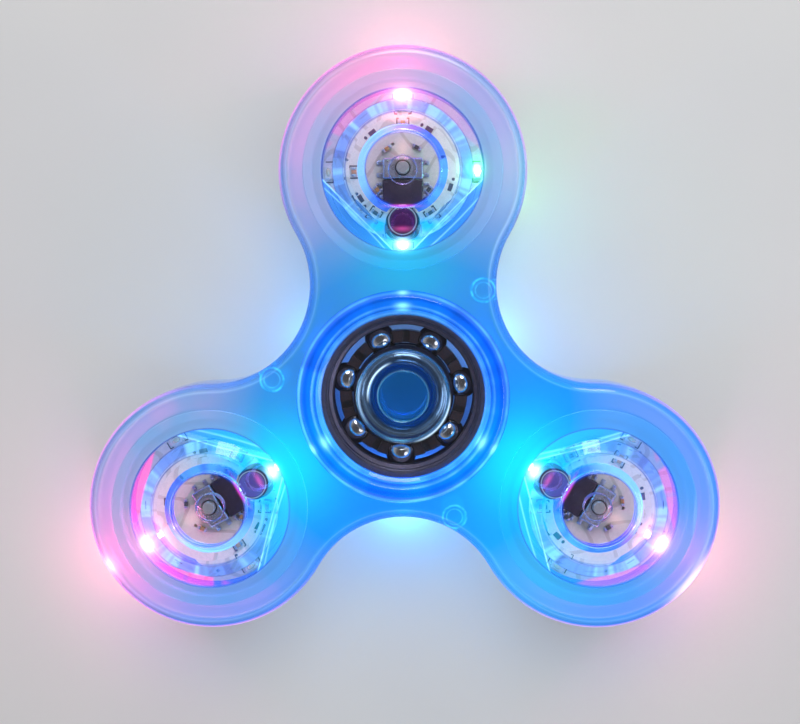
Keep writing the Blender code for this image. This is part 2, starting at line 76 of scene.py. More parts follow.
MM = 0.001
MERGE = 0.0005
SHARP_ANGLE = radians(32)
NEARLY_STRAIGHT = 1.56
SMALLEST_ROUND = 1e-4
SLANT = cos(pi / 4)
LOBES = 3
LOBE_PITCH = 360.0 / LOBES
BALLS = 7


# Sizes that the frame gives, in millimetres

def low(node):
    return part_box(node)[0] / MM


def high(node):
    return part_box(node)[1] / MM


def middle(node):
    return (low(node) + high(node)) / 2


LOBE_DISTANCE = middle("pod_lens_1").y
LOBE_RADIUS = high("front_shell").y - LOBE_DISTANCE
SHELL_FACE = high("front_shell").z
LIP_OUTER = high("pod_lens_1").y - LOBE_DISTANCE
PLATEAU_TOP = high("pod_lens_1").z
BUTTON_TOP = high("pod_button_1").z
BOARD_TOP = low("driver_chip_1").z - 0.05
BOARD_RADIUS = high("circuit_board_1").y - LOBE_DISTANCE
CAP_RADIUS, CAP_TOP = high("front_cap").x, high("front_cap").z
RACE_OUTER, RACE_HALF = high("bearing_outer_race").x, high("bearing_outer_race").z
BALL_RADIUS = high("bearing_ball_1").z
BALL_SPOTS = [middle(f"bearing_ball_{number + 1}") for number in range(BALLS)]
BALL_PITCH = sum(hypot(at.x, at.y) for at in BALL_SPOTS) / BALLS
CAGE_OUTER = high("bearing_cage").x
CAGE_BACK, CAGE_FRONT = low("bearing_cage").z, high("bearing_cage").z
LAMP_DISTANCE = middle("led_red_1").y - LOBE_DISTANCE
LAMP_SIZE = high("led_red_1") - low("led_red_1")
SCREW_OFFSET = middle("cover_screw_1").y - LOBE_DISTANCE
SCREW_BACK, SCREW_END = low("cover_screw_1").z, high("cover_screw_1").z
CELL_BOTTOM, CELL_TOP = low("cell_a_1").z, high("cell_a_1").z
CELL_SPOTS = {letter: middle(f"cell_{letter}_1") - Vector((0, LOBE_DISTANCE, 0)) for letter in "abc"}
COVER_BACK = low("battery_cover_1").z

# Sizes of the shells, in millimetres, and the first peg boss's direction from the hub, in degrees
SEAM = 0.05
WAIST_DISTANCE = 15.5
SHELL_EDGE = 1.4
SHELL_WALL = 1.1
SHELL_SKIN = 1.3
SOCKET_RADIUS, SOCKET_WALL = 11.4, 1.2
SEAT_RADIUS, SEAT_WALL, SEAT_DEPTH = 11.05, 1.35, 3.55
SHELL_LIP = 10.45
BOSS_RADIUS, BOSS_DISTANCE, BOSS_ANGLE = 1.47, 16.6, 52.8
PEG_RADIUS, PEG_HOLE = 0.9, 1.0

# Sizes of the hub, in millimetres
CAP_PLATE, CAP_UNDER = 6.15, 5.3
CAP_FOOT = CAP_RADIUS - 3.1
STEM_RADIUS, STEM_BORE = 3.93, 3.3
GROOVE_RADIUS = 2.08
OUTER_SHOULDER, INNER_SHOULDER, RACE_BORE = 8.85, 6.3, 4.0
CAGE_INNER = 6.5

# Sizes of a capsule's pieces, in millimetres, in its own frame
LENS_RADIUS, LENS_INNER = 11.3, 10.35
LENS_BOSS = 2.15
PLATEAU_RADIUS, PLATEAU_FOOT = 7.15, 8.65
CLEAR_EDGE = 10.05
WINDOW_RADIUS, BUTTON_RADIUS = 4.85, 4.72
BOARD_CUT = 7.9
SCREW_SPOT = (0.0, SCREW_OFFSET)
SWITCH_SPOT = (0.0, 0.35)
CELL_RADIUS = 3.95


# Outlines and solids

def arc(centre, radius, start, end, steps):
    angles = [radians(start + (end - start) * step / steps) for step in range(steps + 1)]
    return [(centre[0] + radius * cos(angle), centre[1] + radius * sin(angle)) for angle in angles]


def polar(radius, angle):
    return radius * cos(radians(angle)), radius * sin(radians(angle))


def heading(lobe):
    return 90 + LOBE_PITCH * lobe


def trefoil(inset):
    """The body's outline moved inwards: a convex arc round each lobe joined by tangent concave waists."""
    waist_radius = (
        (WAIST_DISTANCE**2 + LOBE_DISTANCE**2 - WAIST_DISTANCE * LOBE_DISTANCE - LOBE_RADIUS**2)
        / (2 * LOBE_RADIUS + LOBE_DISTANCE - 2 * WAIST_DISTANCE)
    )
    waist_centre = WAIST_DISTANCE + waist_radius
    half_pitch = radians(LOBE_PITCH / 2)
    lobe_half = 90 - degrees(
        atan2(waist_centre * cos(half_pitch) - LOBE_DISTANCE, waist_centre * sin(half_pitch))
    )
    waist_half = lobe_half - LOBE_PITCH / 2
    points = []
    for lobe in range(LOBES):
        angle = heading(lobe)
        start, end = angle - lobe_half, angle + lobe_half
        points += arc(polar(LOBE_DISTANCE, angle), LOBE_RADIUS - inset, start, end, 64)[:-1]
        angle += LOBE_PITCH / 2
        start, end = angle + 180 + waist_half, angle + 180 - waist_half
        points += arc(polar(waist_centre, angle), waist_radius + inset, start, end, 26)[:-1]
    return points


def soften(profile, radius, steps):
    """Rounds the corners of a closed (radius, height) profile; points on the axis stay as they are."""
    rounded = []
    count = len(profile)
    for index, point in enumerate(profile):
        corner = Vector(point)
        before = Vector(profile[index - 1]) - corner
        after = Vector(profile[(index + 1) % count]) - corner
        half = before.angle(after) / 2
        reach = min(radius / tan(half), 0.45 * before.length, 0.45 * after.length)
        if point[0] == 0 or half > NEARLY_STRAIGHT or reach < SMALLEST_ROUND:
            rounded.append(point)
            continue
        start = corner + before.normalized() * reach
        end = corner + after.normalized() * reach
        for step in range(steps + 1):
            share = step / steps
            bend = start.lerp(corner, share).lerp(corner.lerp(end, share), share)
            rounded.append((bend.x, bend.y))
    return rounded


def mesh_from(shape):
    bmesh.ops.remove_doubles(shape, verts=shape.verts, dist=MERGE)
    bmesh.ops.recalc_face_normals(shape, faces=shape.faces)
    mesh = bpy.data.meshes.new("solid")
    shape.to_mesh(mesh)
    shape.free()
    return mesh


def lathe(profile, steps=96):
    """Turns a closed (radius, height) profile about Z."""
    shape = bmesh.new()
    points = [shape.verts.new((radius, 0.0, height)) for radius, height in profile]
    edges = [shape.edges.new(pair) for pair in zip(points, points[1:])]
    if profile[0][0] > 0:
        edges.append(shape.edges.new((points[-1], points[0])))
    bmesh.ops.spin(
        shape, geom=points + edges, cent=(0, 0, 0), axis=(0, 0, 1), angle=2 * pi, steps=steps, use_merge=True
    )
    return mesh_from(shape)


def drum(radius, bottom, top):
    return lathe([(0, bottom), (radius, bottom), (radius, top), (0, top)])


def loft(sections):
    """Joins outlines with equally many points, each given with its height, and closes both ends."""
    shape = bmesh.new()
    rings = [[shape.verts.new((x, y, height)) for x, y in outline] for outline, height in sections]
    for lower, upper in zip(rings, rings[1:]):
        for index in range(len(lower)):
            shape.faces.new((lower[index - 1], lower[index], upper[index], upper[index - 1]))
    shape.faces.new(rings[0])
    shape.faces.new(rings[-1])
    return mesh_from(shape)


def cylinder(centre, radius, bottom, top, steps=48):
    outline = arc(centre, radius, 0, 360, steps)[:-1]
    return loft([(outline, bottom), (outline, top)])


def turn(angle):
    """A turn about Z, in degrees."""
    return Matrix.Rotation(radians(angle), 4, "Z")


def box(centre, size, bottom, top, bevel=0.0, angle=0.0):
    """A box with softened edges, given by the centre and size of its plan and its heights."""
    shape = bmesh.new()
    bmesh.ops.create_cube(shape, size=1.0, matrix=Matrix.Diagonal((*size, top - bottom, 1)))
    if bevel:
        bmesh.ops.bevel(shape, geom=shape.edges[:], offset=bevel, segments=3, profile=0.5, affect="EDGES")
    place = turn(angle) @ Matrix.Translation((*centre, (bottom + top) / 2))
    bmesh.ops.transform(shape, matrix=place, verts=shape.verts)
    return mesh_from(shape)


def moved(mesh, offset=(0, 0, 0), angle=0.0):
    copy = mesh.copy()
    copy.transform(turn(angle) @ Matrix.Translation(offset))
    return copy


def mirrored(mesh):
    copy = mesh.copy()
    copy.transform(Matrix.Diagonal((1, 1, -1, 1)))
    copy.flip_normals()
    return copy


def group(meshes):
    shape = bmesh.new()
    for mesh in meshes:
        shape.from_mesh(mesh)
    return mesh_from(shape)


def in_lobes(mesh):
    """One copy of a capsule-frame shape in each lobe, as a single mesh."""
    return group([moved(mesh, (0, LOBE_DISTANCE, 0), LOBE_PITCH * lobe) for lobe in range(LOBES)])


def add_object(name, data):
    made = bpy.data.objects.new(name, data)
    bpy.context.scene.collection.objects.link(made)
    return made


JOIN, CUT = "UNION", "DIFFERENCE"


def combine(mesh, *steps):
    """Joins a mesh with others or cuts it with them, in turn, each given as (JOIN or CUT, mesh)."""
    for operation, tool in steps:
        base, other = add_object("base", mesh), add_object("tool", tool)
        step = base.modifiers.new("step", "BOOLEAN")
        step.operation = operation
        step.solver = "EXACT"
        step.object = other
        graph = bpy.context.evaluated_depsgraph_get()
        result = bmesh.new()
        result.from_mesh(base.evaluated_get(graph).data)
        bpy.data.objects.remove(base)
        bpy.data.objects.remove(other)
        mesh = mesh_from(result)
    return mesh


# Node wiring

class Wire:
    """A value on a node tree; ordinary arithmetic on it adds Math nodes."""

    def __init__(self, tree, socket):
        self.tree = tree
        self.socket = socket

    def math(self, operation, *others):
        return add_node(self.tree, "Math", enumerate((self, *others)), operation=operation)

    def __add__(self, other):
        return self.math("ADD", other)

    def __sub__(self, other):
        return self.math("SUBTRACT", other)

    def __mul__(self, other):
        return self.math("MULTIPLY", other)

    def __truediv__(self, other):
        return self.math("DIVIDE", other)


def connect(tree, slot, value):
    if isinstance(value, Wire):
        tree.links.new(value.socket, slot)
    else:
        slot.default_value = value


def add_node(tree, kind, inputs=(), output=0, **options):
    """Adds a node, given its options and (input, value) pairs, and returns one of its outputs as a wire."""
    node = tree.nodes.new("ShaderNode" + kind)
    for option, value in options.items():
        setattr(node, option, value)
    for slot, value in inputs:
        connect(tree, node.inputs[slot], value)
    return Wire(tree, node.outputs[output])


def fade(value, start, end, low_value=0.0, high_value=1.0):
    """Eases from low_value to high_value as the value goes from start to end."""
    inputs = enumerate((value, start, end, low_value, high_value))
    return add_node(value.tree, "MapRange", inputs, interpolation_type="SMOOTHSTEP")


def bell(value, centre, width):
    """A smooth bump of height 1 round a centre."""
    offset = (value - centre) / width
    return (offset * offset * -1.0).math("EXPONENT")


def spot(plan, at, width):
    """A smooth round spot on a plan, given as (x, y) wires; width may differ along x and y."""
    wide, tall = width if isinstance(width, tuple) else (width, width)
    across = (plan[0] - at[0]) / wide
    along = (plan[1] - at[1]) / tall
    return ((across * across + along * along) * -1.0).math("EXPONENT")


def length(x, y):
    return (x * x + y * y).math("SQRT")


def band(value, start, end, soft):
    """1 between two values and 0 outside them, with soft edges."""
    return fade(value, start - soft, start + soft) * fade(value, end + soft, end - soft)


def scaled(vector, scale):
    return add_node(vector.tree, "VectorMath", ((0, vector), ("Scale", scale)), operation="SCALE")


def outwards(x, y, scale):
    """A vector that depends only on the direction from the axis, for patterns that run outwards."""
    plan = add_node(x.tree, "CombineXYZ", ((0, x), (1, y)))
    return scaled(add_node(x.tree, "VectorMath", ((0, plan),), operation="NORMALIZE"), scale)


def blend(tree, share, first, second, mode="MIX"):
    """A mix of two colours, each a triple or a wire."""
    first, second = (color if isinstance(color, Wire) else (*color, 1.0) for color in (first, second))
    inputs = ((0, share), (6, first), (7, second))
    return add_node(tree, "Mix", inputs, 2, data_type="RGBA", blend_type=mode, clamp_factor=True)


def split(vector):
    node = vector.tree.nodes.new("ShaderNodeSeparateXYZ")
    connect(vector.tree, node.inputs[0], vector)
    return [Wire(vector.tree, output) for output in node.outputs]


def coordinates(tree, body=None):
    """The point in millimetres as (x, y, z) wires, in the piece's own frame or in a body's."""
    point = add_node(tree, "TexCoord", (), "Object", object=frame["bodies"][body] if body else None)
    point = scaled(point, 1 / MM)
    return split(point), point


def noise(point, scale, detail, roughness=0.5):
    inputs = (("Vector", point), ("Scale", scale), ("Detail", detail), ("Roughness", roughness))
    return add_node(point.tree, "TexNoise", inputs)


def lobe_frame(x, y):
    """Folds the body's plan onto one lobe: (across, outwards) from the capsule's axis."""
    radius = length(x, y)
    angle = x.math("ARCTAN2", y)
    folded = angle - (angle / radians(LOBE_PITCH)).math("ROUND") * radians(LOBE_PITCH)
    return radius * folded.math("SINE"), radius * folded.math("COSINE") - LOBE_DISTANCE


# Colours of the plastic, and painted lamplight: tints and glows that stand in for the light that it carries
LAVENDER = (0.39, 0.62, 0.91)
ORCHID = (0.55, 0.60, 0.88)
HUB_BLUE_LAMPLIGHT = (0.09, 0.42, 0.86)
LOWER_BLUE_LAMPLIGHT = (0.03, 0.42, 1.0)
INNER_CYAN_LAMPLIGHT = (0.02, 0.80, 1.0)
TIP_PINK_LAMPLIGHT = (0.95, 0.58, 0.78)
DARK_EDGE_LINE_SHADE = (0.03, 0.12, 0.62)
LUNE_MAGENTA_LAMPLIGHT = (0.94, 0.30, 0.66)
OUTLINE_SHADE = (0.30, 0.36, 0.80)
GREEN_LAMPLIGHT = (0.80, 0.98, 0.88)
NEARLY_CLEAR = (0.96, 0.98, 1.0)
FAINT_BLUE = (0.9, 0.95, 1.0)
GLOW_SKY = (0.0, 0.02, 0.055)
GLOW_BLUE = (0.0, 0.01, 0.03)
GLOW_LOW = (0.0, 0.02, 0.09)
GLOW_CYAN = (0.0, 0.14, 0.08)
GLOW_PINK = (0.09, 0.0, 0.02)
GLOW_GREEN = (0.0, 0.08, 0.02)
WHITE = (1.0, 1.0, 1.0)
BLACK = (0.0, 0.0, 0.0)

LAMP_STRENGTH = 14.0

# Each lobe's red lamp: its glow's turn from the lobe's axis in degrees, reach in millimetres and strength
PINK_REACH = ((6.5, 10.0, 0.9), (0.0, 9.0, 0.8), (0.0, 5.5, 0.35))


class Look:
    """A material being painted, layer by layer: tint is its colour and light its emission."""

    def __init__(self, name):
        self.material = bpy.data.materials.new(name)
        self.material.use_nodes = True
        self.tree = self.material.node_tree
        self.shader = self.tree.nodes["Principled BSDF"]
        self.tint = self.light = BLACK

    def set(self, slot, value):
        connect(self.tree, self.shader.inputs[slot], value)

    def mix(self, share, first, second):
        return blend(self.tree, share, first, second)

    def tone(self, share, color, mode="MIX"):
        """Lays a colour over the tint."""
        self.tint = blend(self.tree, share, self.tint, color, mode)

    def dim(self, share, color=BLACK):
        """Lays a colour over the light."""
        self.light = self.mix(share, self.light, color)

    def shine(self, color, strength):
        """Adds to the light."""
        self.light = blend(self.tree, 1.0, self.light, self.mix(strength, BLACK, color), "ADD")

    def facing(self, weight):
        """From 0 where the surface faces the eye to 1 at its outline."""
        return add_node(self.tree, "LayerWeight", ((0, weight),), "Facing")

    def bump(self, height, strength, depth):
        inputs = (("Strength", strength), ("Distance", depth * MM), ("Height", height))
        self.set("Normal", add_node(self.tree, "Bump", inputs))

    def let_light_through(self, tint):
        """Shadow and diffuse rays pass the plastic, tinted, so that lamps light what is behind it."""
        tree = self.tree
        clear = add_node(tree, "BsdfTransparent", ((0, (*tint, 1.0)),))
        ray = tree.nodes.new("ShaderNodeLightPath").outputs
        passing = Wire(tree, ray["Is Shadow Ray"]).math("MAXIMUM", Wire(tree, ray["Is Diffuse Ray"]))
        inputs = ((0, passing), (1, Wire(tree, self.shader.outputs[0])), (2, clear))
        connect(tree, tree.nodes["Material Output"].inputs[0], add_node(tree, "MixShader", inputs))

    def mould(self, point, roughness, shadow_tint=FAINT_BLUE):
        """Finishes the material as clear moulded plastic, with its painted lamplight as emission."""
        speckle = fade(noise(point, 1.6, 4.0), 0.35, 0.75, roughness * 0.6, roughness * 1.8)
        for slot, value in (
            ("Base Color", self.tint), ("Emission Color", self.light), ("Emission Strength", 1.0),
            ("Roughness", speckle), ("Transmission Weight", 1.0), ("IOR", 1.49),
        ):
            self.set(slot, value)
        self.bump(noise(point, 0.22, 1.0), 0.12, 0.02)
        self.let_light_through(shadow_tint)
        return self.material


def glow(look):
    """Paints the lamps' light into the plastic as tint and glow: blue round the hub, cyan at the inner lamps
    and pink at the lobes' tips, over a lavender base with random orchid clouds.
    """
    (x, y, _), point = coordinates(look.tree, "spinner_body")
    across, out = lobe_frame(x, y)
    near_hub = fade(length(x, y), 27.0, 13.5)
    lower = fade(x * 0.5 - y, -12.0, 12.0)
    drift = fade(x * 0.6 - y * 0.9, -32.0, 30.0, 0.0, 0.70)
    blue = (near_hub + drift).math("MINIMUM", 1.0)
    cyan = spot((across, out), (0, -LAMP_DISTANCE - 2.0), (6.5, 5.5))
    cyan = cyan * fade(x * 0.35 - y, -22.0, 12.0, 0.4, 1.1) + spot((x, y), (17.0, -22.0), (9.0, 7.0)) * 0.35
    pink = 0.0
    for lobe, (angle, reach, strength) in enumerate(PINK_REACH):
        pink = spot((x, y), polar(LOBE_DISTANCE + 12.5, heading(lobe) + angle), reach) * strength + pink
    pink = pink * fade(length(across, out), 10.5, 14.0, 0.78, 1.0)
    green = spot((x, y), (14.5, LOBE_DISTANCE + 0.5), (3.2, 5.0))
    cloud = noise(point, 0.12, 2.0)
    look.tint = look.mix(fade(cloud, 0.42, 0.62) * fade(x, 26.0, -12.0, 0.2, 1.0), LAVENDER, ORCHID)
    # Painted lamplight: blue near the hub, cyan at the inner lamps, pink at the tips, pale green by the green
    # lamp.
    look.tone(blue, look.mix(lower, HUB_BLUE_LAMPLIGHT, LOWER_BLUE_LAMPLIGHT))
    look.tone(cyan * 0.9, INNER_CYAN_LAMPLIGHT)
    look.tone(pink, TIP_PINK_LAMPLIGHT)
    look.tone(green * 0.2, GREEN_LAMPLIGHT)
    look.light = look.mix(fade(cloud, 0.3, 0.7, 0.7, 1.0), BLACK, GLOW_SKY)
    for color, strength in (
        (GLOW_BLUE, blue), (GLOW_LOW, blue * lower), (GLOW_CYAN, cyan), (GLOW_PINK, pink * 0.8),
        (GLOW_GREEN, green * 0.35),
    ):
        look.shine(color, strength)


def body_plastic():
    """Shell plastic, slightly milky, painted with the lamps' light: painted shade at its outlines, a painted
    shade line and bright line along the face's edge, pegs outlined in painted shade and highlight, painted
    pink lamplight in the rim, and a painted glint beyond two of the red lamps.
    """
    look = Look("body_plastic")
    (x, y, z), point = coordinates(look.tree)
    glow(look)
    # Painted shade: the plastic darkens towards its outlines.
    look.tone(fade(look.facing(0.35), 0.15, 0.75) * 0.8, OUTLINE_SHADE, "MULTIPLY")
    across, out = lobe_frame(x, y)
    peg_x, peg_y = polar(BOSS_DISTANCE, BOSS_ANGLE)
    peg = length(across - peg_x, out - (peg_y - LOBE_DISTANCE))
    ring = bell(peg, BOSS_RADIUS, 0.13) + bell(peg, PEG_HOLE, 0.08) * 0.5
    # The pegs' outlines: a painted dark shade line with painted highlights along it.
    look.tone(bell(peg, BOSS_RADIUS, 0.16) * 0.6, (0.0, 0.22, 0.70))
    look.shine((0.05, 0.42, 0.5), ring * fade(noise(point, 0.8, 2.0), 0.42, 0.58, 0.35, 1.0))
    depth = z.math("ABSOLUTE") * -1.0 + SHELL_FACE
    # A painted shade line and a painted bright line along the face's rounded edge.
    look.tone(bell(depth, 0.24, 0.09) * 0.32, (0.02, 0.16, 0.55))
    look.shine((0.05, 0.08, 0.10), band(depth, 0.03, 0.08, 0.02))
    rim = fade(depth, 2.8, 0.8) * fade(depth, 0.34, 0.62)
    pink_rim_light = rim * fade(out, -9.0, 4.0) * fade(x + y * 0.5, 26.0, -12.0, 0.7, 1.0)
    # Painted pink lamplight along the rim, stronger towards the lobes' tips and the left.
    look.tone(pink_rim_light * 0.8, (1.0, 0.50, 0.80))
    look.shine((0.44, 0.10, 0.26), pink_rim_light)
    side = across.math("ARCTAN2", out)
    for lobe, reach, angle, width in ((1, 14.8, 0.0, 0.08), (2, 15.1, 0.15, 0.2)):
        here = fade(spot((x, y), polar(LOBE_DISTANCE + LOBE_RADIUS, heading(lobe)), 9.0), 0.3, 0.5)
        glint = bell(length(across, out), reach, 0.5) * bell(side, angle, width)
        look.shine((1.3, 0.85, 1.0), glint * here * fade(z, 0.5, 2.5))
    material = look.mould(point, 0.04)
    look.set("Transmission Weight", fade(depth, 0.5, 0.05, 0.8, 0.42))
    return material


def cap_plastic(name, rear):
    """Finger-cap plastic: nearly clear over the bearing, with painted lamplight, blue in the stem's hollow and
    deep blue in the rim, painted bright and dark fine edge lines, painted reflection arcs and painted
    highlights at the lamps' sides.
    """
    look = Look(name)
    (x, y, _), point = coordinates(look.tree)
    turned, _ = coordinates(look.tree, "spinner_body")
    in_lobe = lobe_frame(*turned[:2])
    radius = length(x, y)
    in_rim = fade(radius, CAP_FOOT, CAP_FOOT + 1.0)
    in_stem = fade(radius, STEM_RADIUS + 0.27, STEM_RADIUS - 0.13)
    # Painted lamplight: blue in the stem's hollow, with a painted shade ring on the stem's wall; the rear cap
    # gets more painted blue lamplight towards -y.
    look.tint = look.mix(in_stem, (0.92, 0.95, 1.0), (0.28, 0.72, 0.80))
    look.tone(band(radius, STEM_BORE, 4.1, 0.15), (0.05, 0.16, 0.42))
    if rear:
        look.tone(fade(y, -2.0, 8.0, 0.85, 0.45), (0.16, 0.42, 0.95))
    # The rim's deep blue is painted lamplight, with painted glow in patches.
    look.tone(in_rim, look.mix(fade(y, 4.0, -11.0), (0.09, 0.46, 0.94), (0.03, 0.62, 0.98)))
    patches = noise(outwards(x, y, 2.2), 1.0, 2.0)
    look.light = look.mix(in_rim * fade(patches, 0.35, 0.65, 0.3, 1.0), BLACK, (0.0, 0.06, 0.32))
    # Painted bright edge lines and painted dark edge lines round the rim.
    for line, width, share in ((12.95, 0.16, 0.8), (11.35, 0.14, 0.55), (10.65, 0.12, 0.35)):
        look.shine((0.15, 0.55, 0.85), bell(radius, line, width) * fade(patches, 0.4, 0.6, 0.35, 1.0) * share)
    for line, width, share in ((CAP_RADIUS, 0.07, 0.8), (12.25, 0.2, 0.5), (11.0, 0.1, 0.7)):
        look.tone(bell(radius, line, width) * share, (0.01, 0.07, 0.40))
    # Painted reflection arcs on the stem's edges toward fixed directions, painted highlights on the rim at
    # each lamp's side, and a faint painted glow in the stem.
    for side, line, share in (((-0.85, 0.5), 4.45, 0.9), ((0.8, -0.6), 5.85, 0.7), ((-0.9, -0.1), 5.6, 0.35)):
        toward = fade((x * side[0] + y * side[1]) / radius, 0.72, 0.96)
        look.shine((0.55, 0.75, 0.9), bell(radius, line, 0.10) * toward * share)
    for line, size in ((12.95, 0.28), (11.35, 0.36)):
        look.shine((0.35, 0.85, 1.0), spot(in_lobe, (0, line - LOBE_DISTANCE), (size * 2.2, size)) * 0.8)
    look.shine((0.0, 0.01, 0.03), in_stem)
    return look.mould(point, 0.015)


def paint_cone(look, x, y, front):
    """The lens's sloping ring and the clear zone round it, with painted blue lamplight, painted light streaks
    and shade patches, painted dark edge lines, and painted highlight lines at the board's cuts.
    """
    radius = length(x, y)
    cone = band(radius, PLATEAU_RADIUS, PLATEAU_FOOT, 0.12) * front
    field = look.tint
    streaks = noise(outwards(x, y, 2.6), 1.0, 3.0)
    cut_side = ((x - y) * SLANT).math("MAXIMUM", (x + y) * -SLANT)
    inside = fade(radius, CLEAR_EDGE + 0.1, CLEAR_EDGE - 0.05)
    lune = fade(cut_side, BOARD_CUT - 0.15, BOARD_CUT + 0.05) * inside
    # Painted lamplight: blue in the cone and the lunes, with the body's painted tint outside.
    look.tint = look.mix(cone, (0.95, 0.95, 0.99), (0.26, 0.50, 0.98))
    look.tone(fade(radius, 8.5, 8.8) * 0.6, field)
    look.tone(fade(radius, CLEAR_EDGE - 0.1, CLEAR_EDGE + 0.15), field)
    look.tone(lune * 0.8, (0.30, 0.58, 1.0))
    # Painted dark edge lines at the cone's edges and at the clear edge.
    edge = bell(radius, PLATEAU_RADIUS - 0.05, 0.09) + bell(radius, PLATEAU_FOOT + 0.05, 0.09)
    look.tone((edge + bell(radius, CLEAR_EDGE, 0.1)) * front * 0.75, DARK_EDGE_LINE_SHADE)
    # Painted light streaks in the cone, painted shade patches over them, and painted glow in the lunes.
    look.shine(look.mix(fade(streaks, 0.50, 0.58), (0.0, 0.02, 0.16), (0.15, 0.36, 0.46)), cone * 0.6)
    shade = cone * fade(noise(outwards(x, y, 2.1), 1.0, 2.0), 0.47, 0.53) * 0.7
    look.tone(shade, (0.16, 0.28, 0.78))
    look.dim(shade, (0.0, 0.01, 0.08))
    look.shine((0.02, 0.12, 0.40), lune * front * 0.5)
    # Painted highlight lines at the board's cuts.
    cut_line_glint = bell(cut_side, BOARD_CUT, 0.07) + bell(cut_side + (x * y) * 0.012, 8.75, 0.09) * 0.6
    look.shine((0.20, 0.38, 0.50), cut_line_glint * fade(radius, CLEAR_EDGE + 0.05, CLEAR_EDGE - 0.15) * front)
    # Painted violet shade patches in the clear zone.
    violet_shade_patches = fade(noise(outwards(x, y, 1.3), 1.0, 1.0), 0.45, 0.6)
    look.tone(band(radius, 8.75, CLEAR_EDGE - 0.1, 0.1) * violet_shade_patches * 0.4, (0.45, 0.50, 0.95))
    return streaks


def paint_boss(look, x, y, front, low_lobes):
    """The clear boss with a painted dark disc for the screw's end in it, tinted by painted lamplight, with a
    painted highlight ring and a painted red glint, between two patches of painted blue lamplight.
    """
    middle_y = SCREW_OFFSET + 0.35
    boss = length(x, y - middle_y)
    # Two patches of painted blue lamplight beside the boss.
    for side in (-1, 1):
        patch = spot((x, y), (side * 3.1, SCREW_OFFSET - 0.2), (1.3, 0.7)) * front
        look.tone(patch * 1.3, (0.0, 0.40, 0.85))
        look.dim(patch, (0.0, 0.22, 0.50))
    # A painted dark disc for the screw's end, tinted by painted lamplight (lighter blue in the lower lobes), a
    # painted highlight ring and a painted red glint.
    disc = fade(boss, 1.62, 1.48)
    look.tone(disc, look.mix(low_lobes, (0.34, 0.10, 0.36), (0.46, 0.36, 0.85)))
    look.dim(fade(boss, 2.1, 1.9))
    look.shine(look.mix(low_lobes, (0.04, 0.01, 0.07), (0.07, 0.06, 0.28)), disc * front)
    look.shine((0.25, 0.32, 0.50), bell(boss, 1.70, 0.07) * front)
    look.shine((0.45, 0.03, 0.2), spot((x, y), (0.0, middle_y - 1.0), (0.9, 0.28)) * front)


def lens_plastic():
    """Capsule lens: clear in the middle, with painted blue lamplight in its cone, painted glow and bloom over
    the lamps, and milky like the body, with its painted lamplight, in its skirt and lip.
    """
    look = Look("lens_plastic")
    (x, y, z), point = coordinates(look.tree)
    turned = coordinates(look.tree, "spinner_body")[0][:2]
    plan, radius, front = (x, y), length(x, y), fade(z, 2.9, 3.3)
    glow(look)
    streaks = paint_cone(look, x, y, front)
    # Painted glow over the red and blue lamps.
    lamp = LAMP_DISTANCE - 0.3
    look.shine((0.75, 0.12, 0.38), spot(plan, (0.0, lamp), (2.6, 1.5)) * front * 0.55)
    look.shine((0.0, 0.55, 0.75), spot(plan, (0.0, -lamp), (2.2, 1.4)) * front * 0.6)
    low_lobes = fade(turned[1], 8.0, -2.0)
    # Painted cyan lamplight on the hub side, stronger in the lower lobes.
    hubwards = fade(y, 1.0, -7.0) * band(radius, 5.7, CLEAR_EDGE - 0.1, 0.15) * front
    look.tone(hubwards * fade(turned[1], 8.0, -2.0, 0.5, 0.85), (0.08, 0.60, 1.0))
    look.shine((0.0, 0.10, 0.14), hubwards * low_lobes)
    # Painted magenta lamplight and glow in the lunes, and painted glow in the wall.
    flare = ((x + y) * SLANT).math("MAXIMUM", (y - x) * SLANT)
    lunes = fade(flare, 8.3, 8.6) * fade(radius, CLEAR_EDGE - 0.05, CLEAR_EDGE - 0.2) * fade(y, 1.0, 3.5)
    lunes = lunes * front * fade(streaks, 0.36, 0.46) * fade(low_lobes, 0.0, 1.0, 0.4, 1.0)
    lunes = lunes * fade(turned[0], -8.0, 8.0, 0.9, 0.55)
    look.tone(lunes, LUNE_MAGENTA_LAMPLIGHT)
    wall = fade(radius, CLEAR_EDGE - 0.1, CLEAR_EDGE + 0.15) * front
    look.shine((0.0, 0.012, 0.05), wall)
    look.shine((0.30, 0.02, 0.12), lunes)
    # Painted bloom over the lamps: white cores, and the top lobe's green lamp.
    cores = spot(plan, (0.0, lamp), (0.95, 0.7)) + spot(plan, (0.0, -lamp), (0.8, 0.65))
    look.shine(WHITE, cores * front * 1.3)
    green_lamp = (lamp, LOBE_DISTANCE)
    look.shine((0.0, 0.75, 0.15), spot(turned, green_lamp, (1.2, 1.6)) * front * 0.8)
    look.shine(WHITE, spot(turned, green_lamp, (0.4, 0.5)) * front)
    # A painted orange reflection of the red lamp.
    look.shine((0.7, 0.28, 0.20), spot(plan, (0.0, 6.35), (2.2, 0.5)) * front * 0.5)
    paint_boss(look, x, y, front, low_lobes)
    material = look.mould(point, 0.012, NEARLY_CLEAR)
    look.set("Transmission Weight", wall * -0.62 + 1.0)
    return material


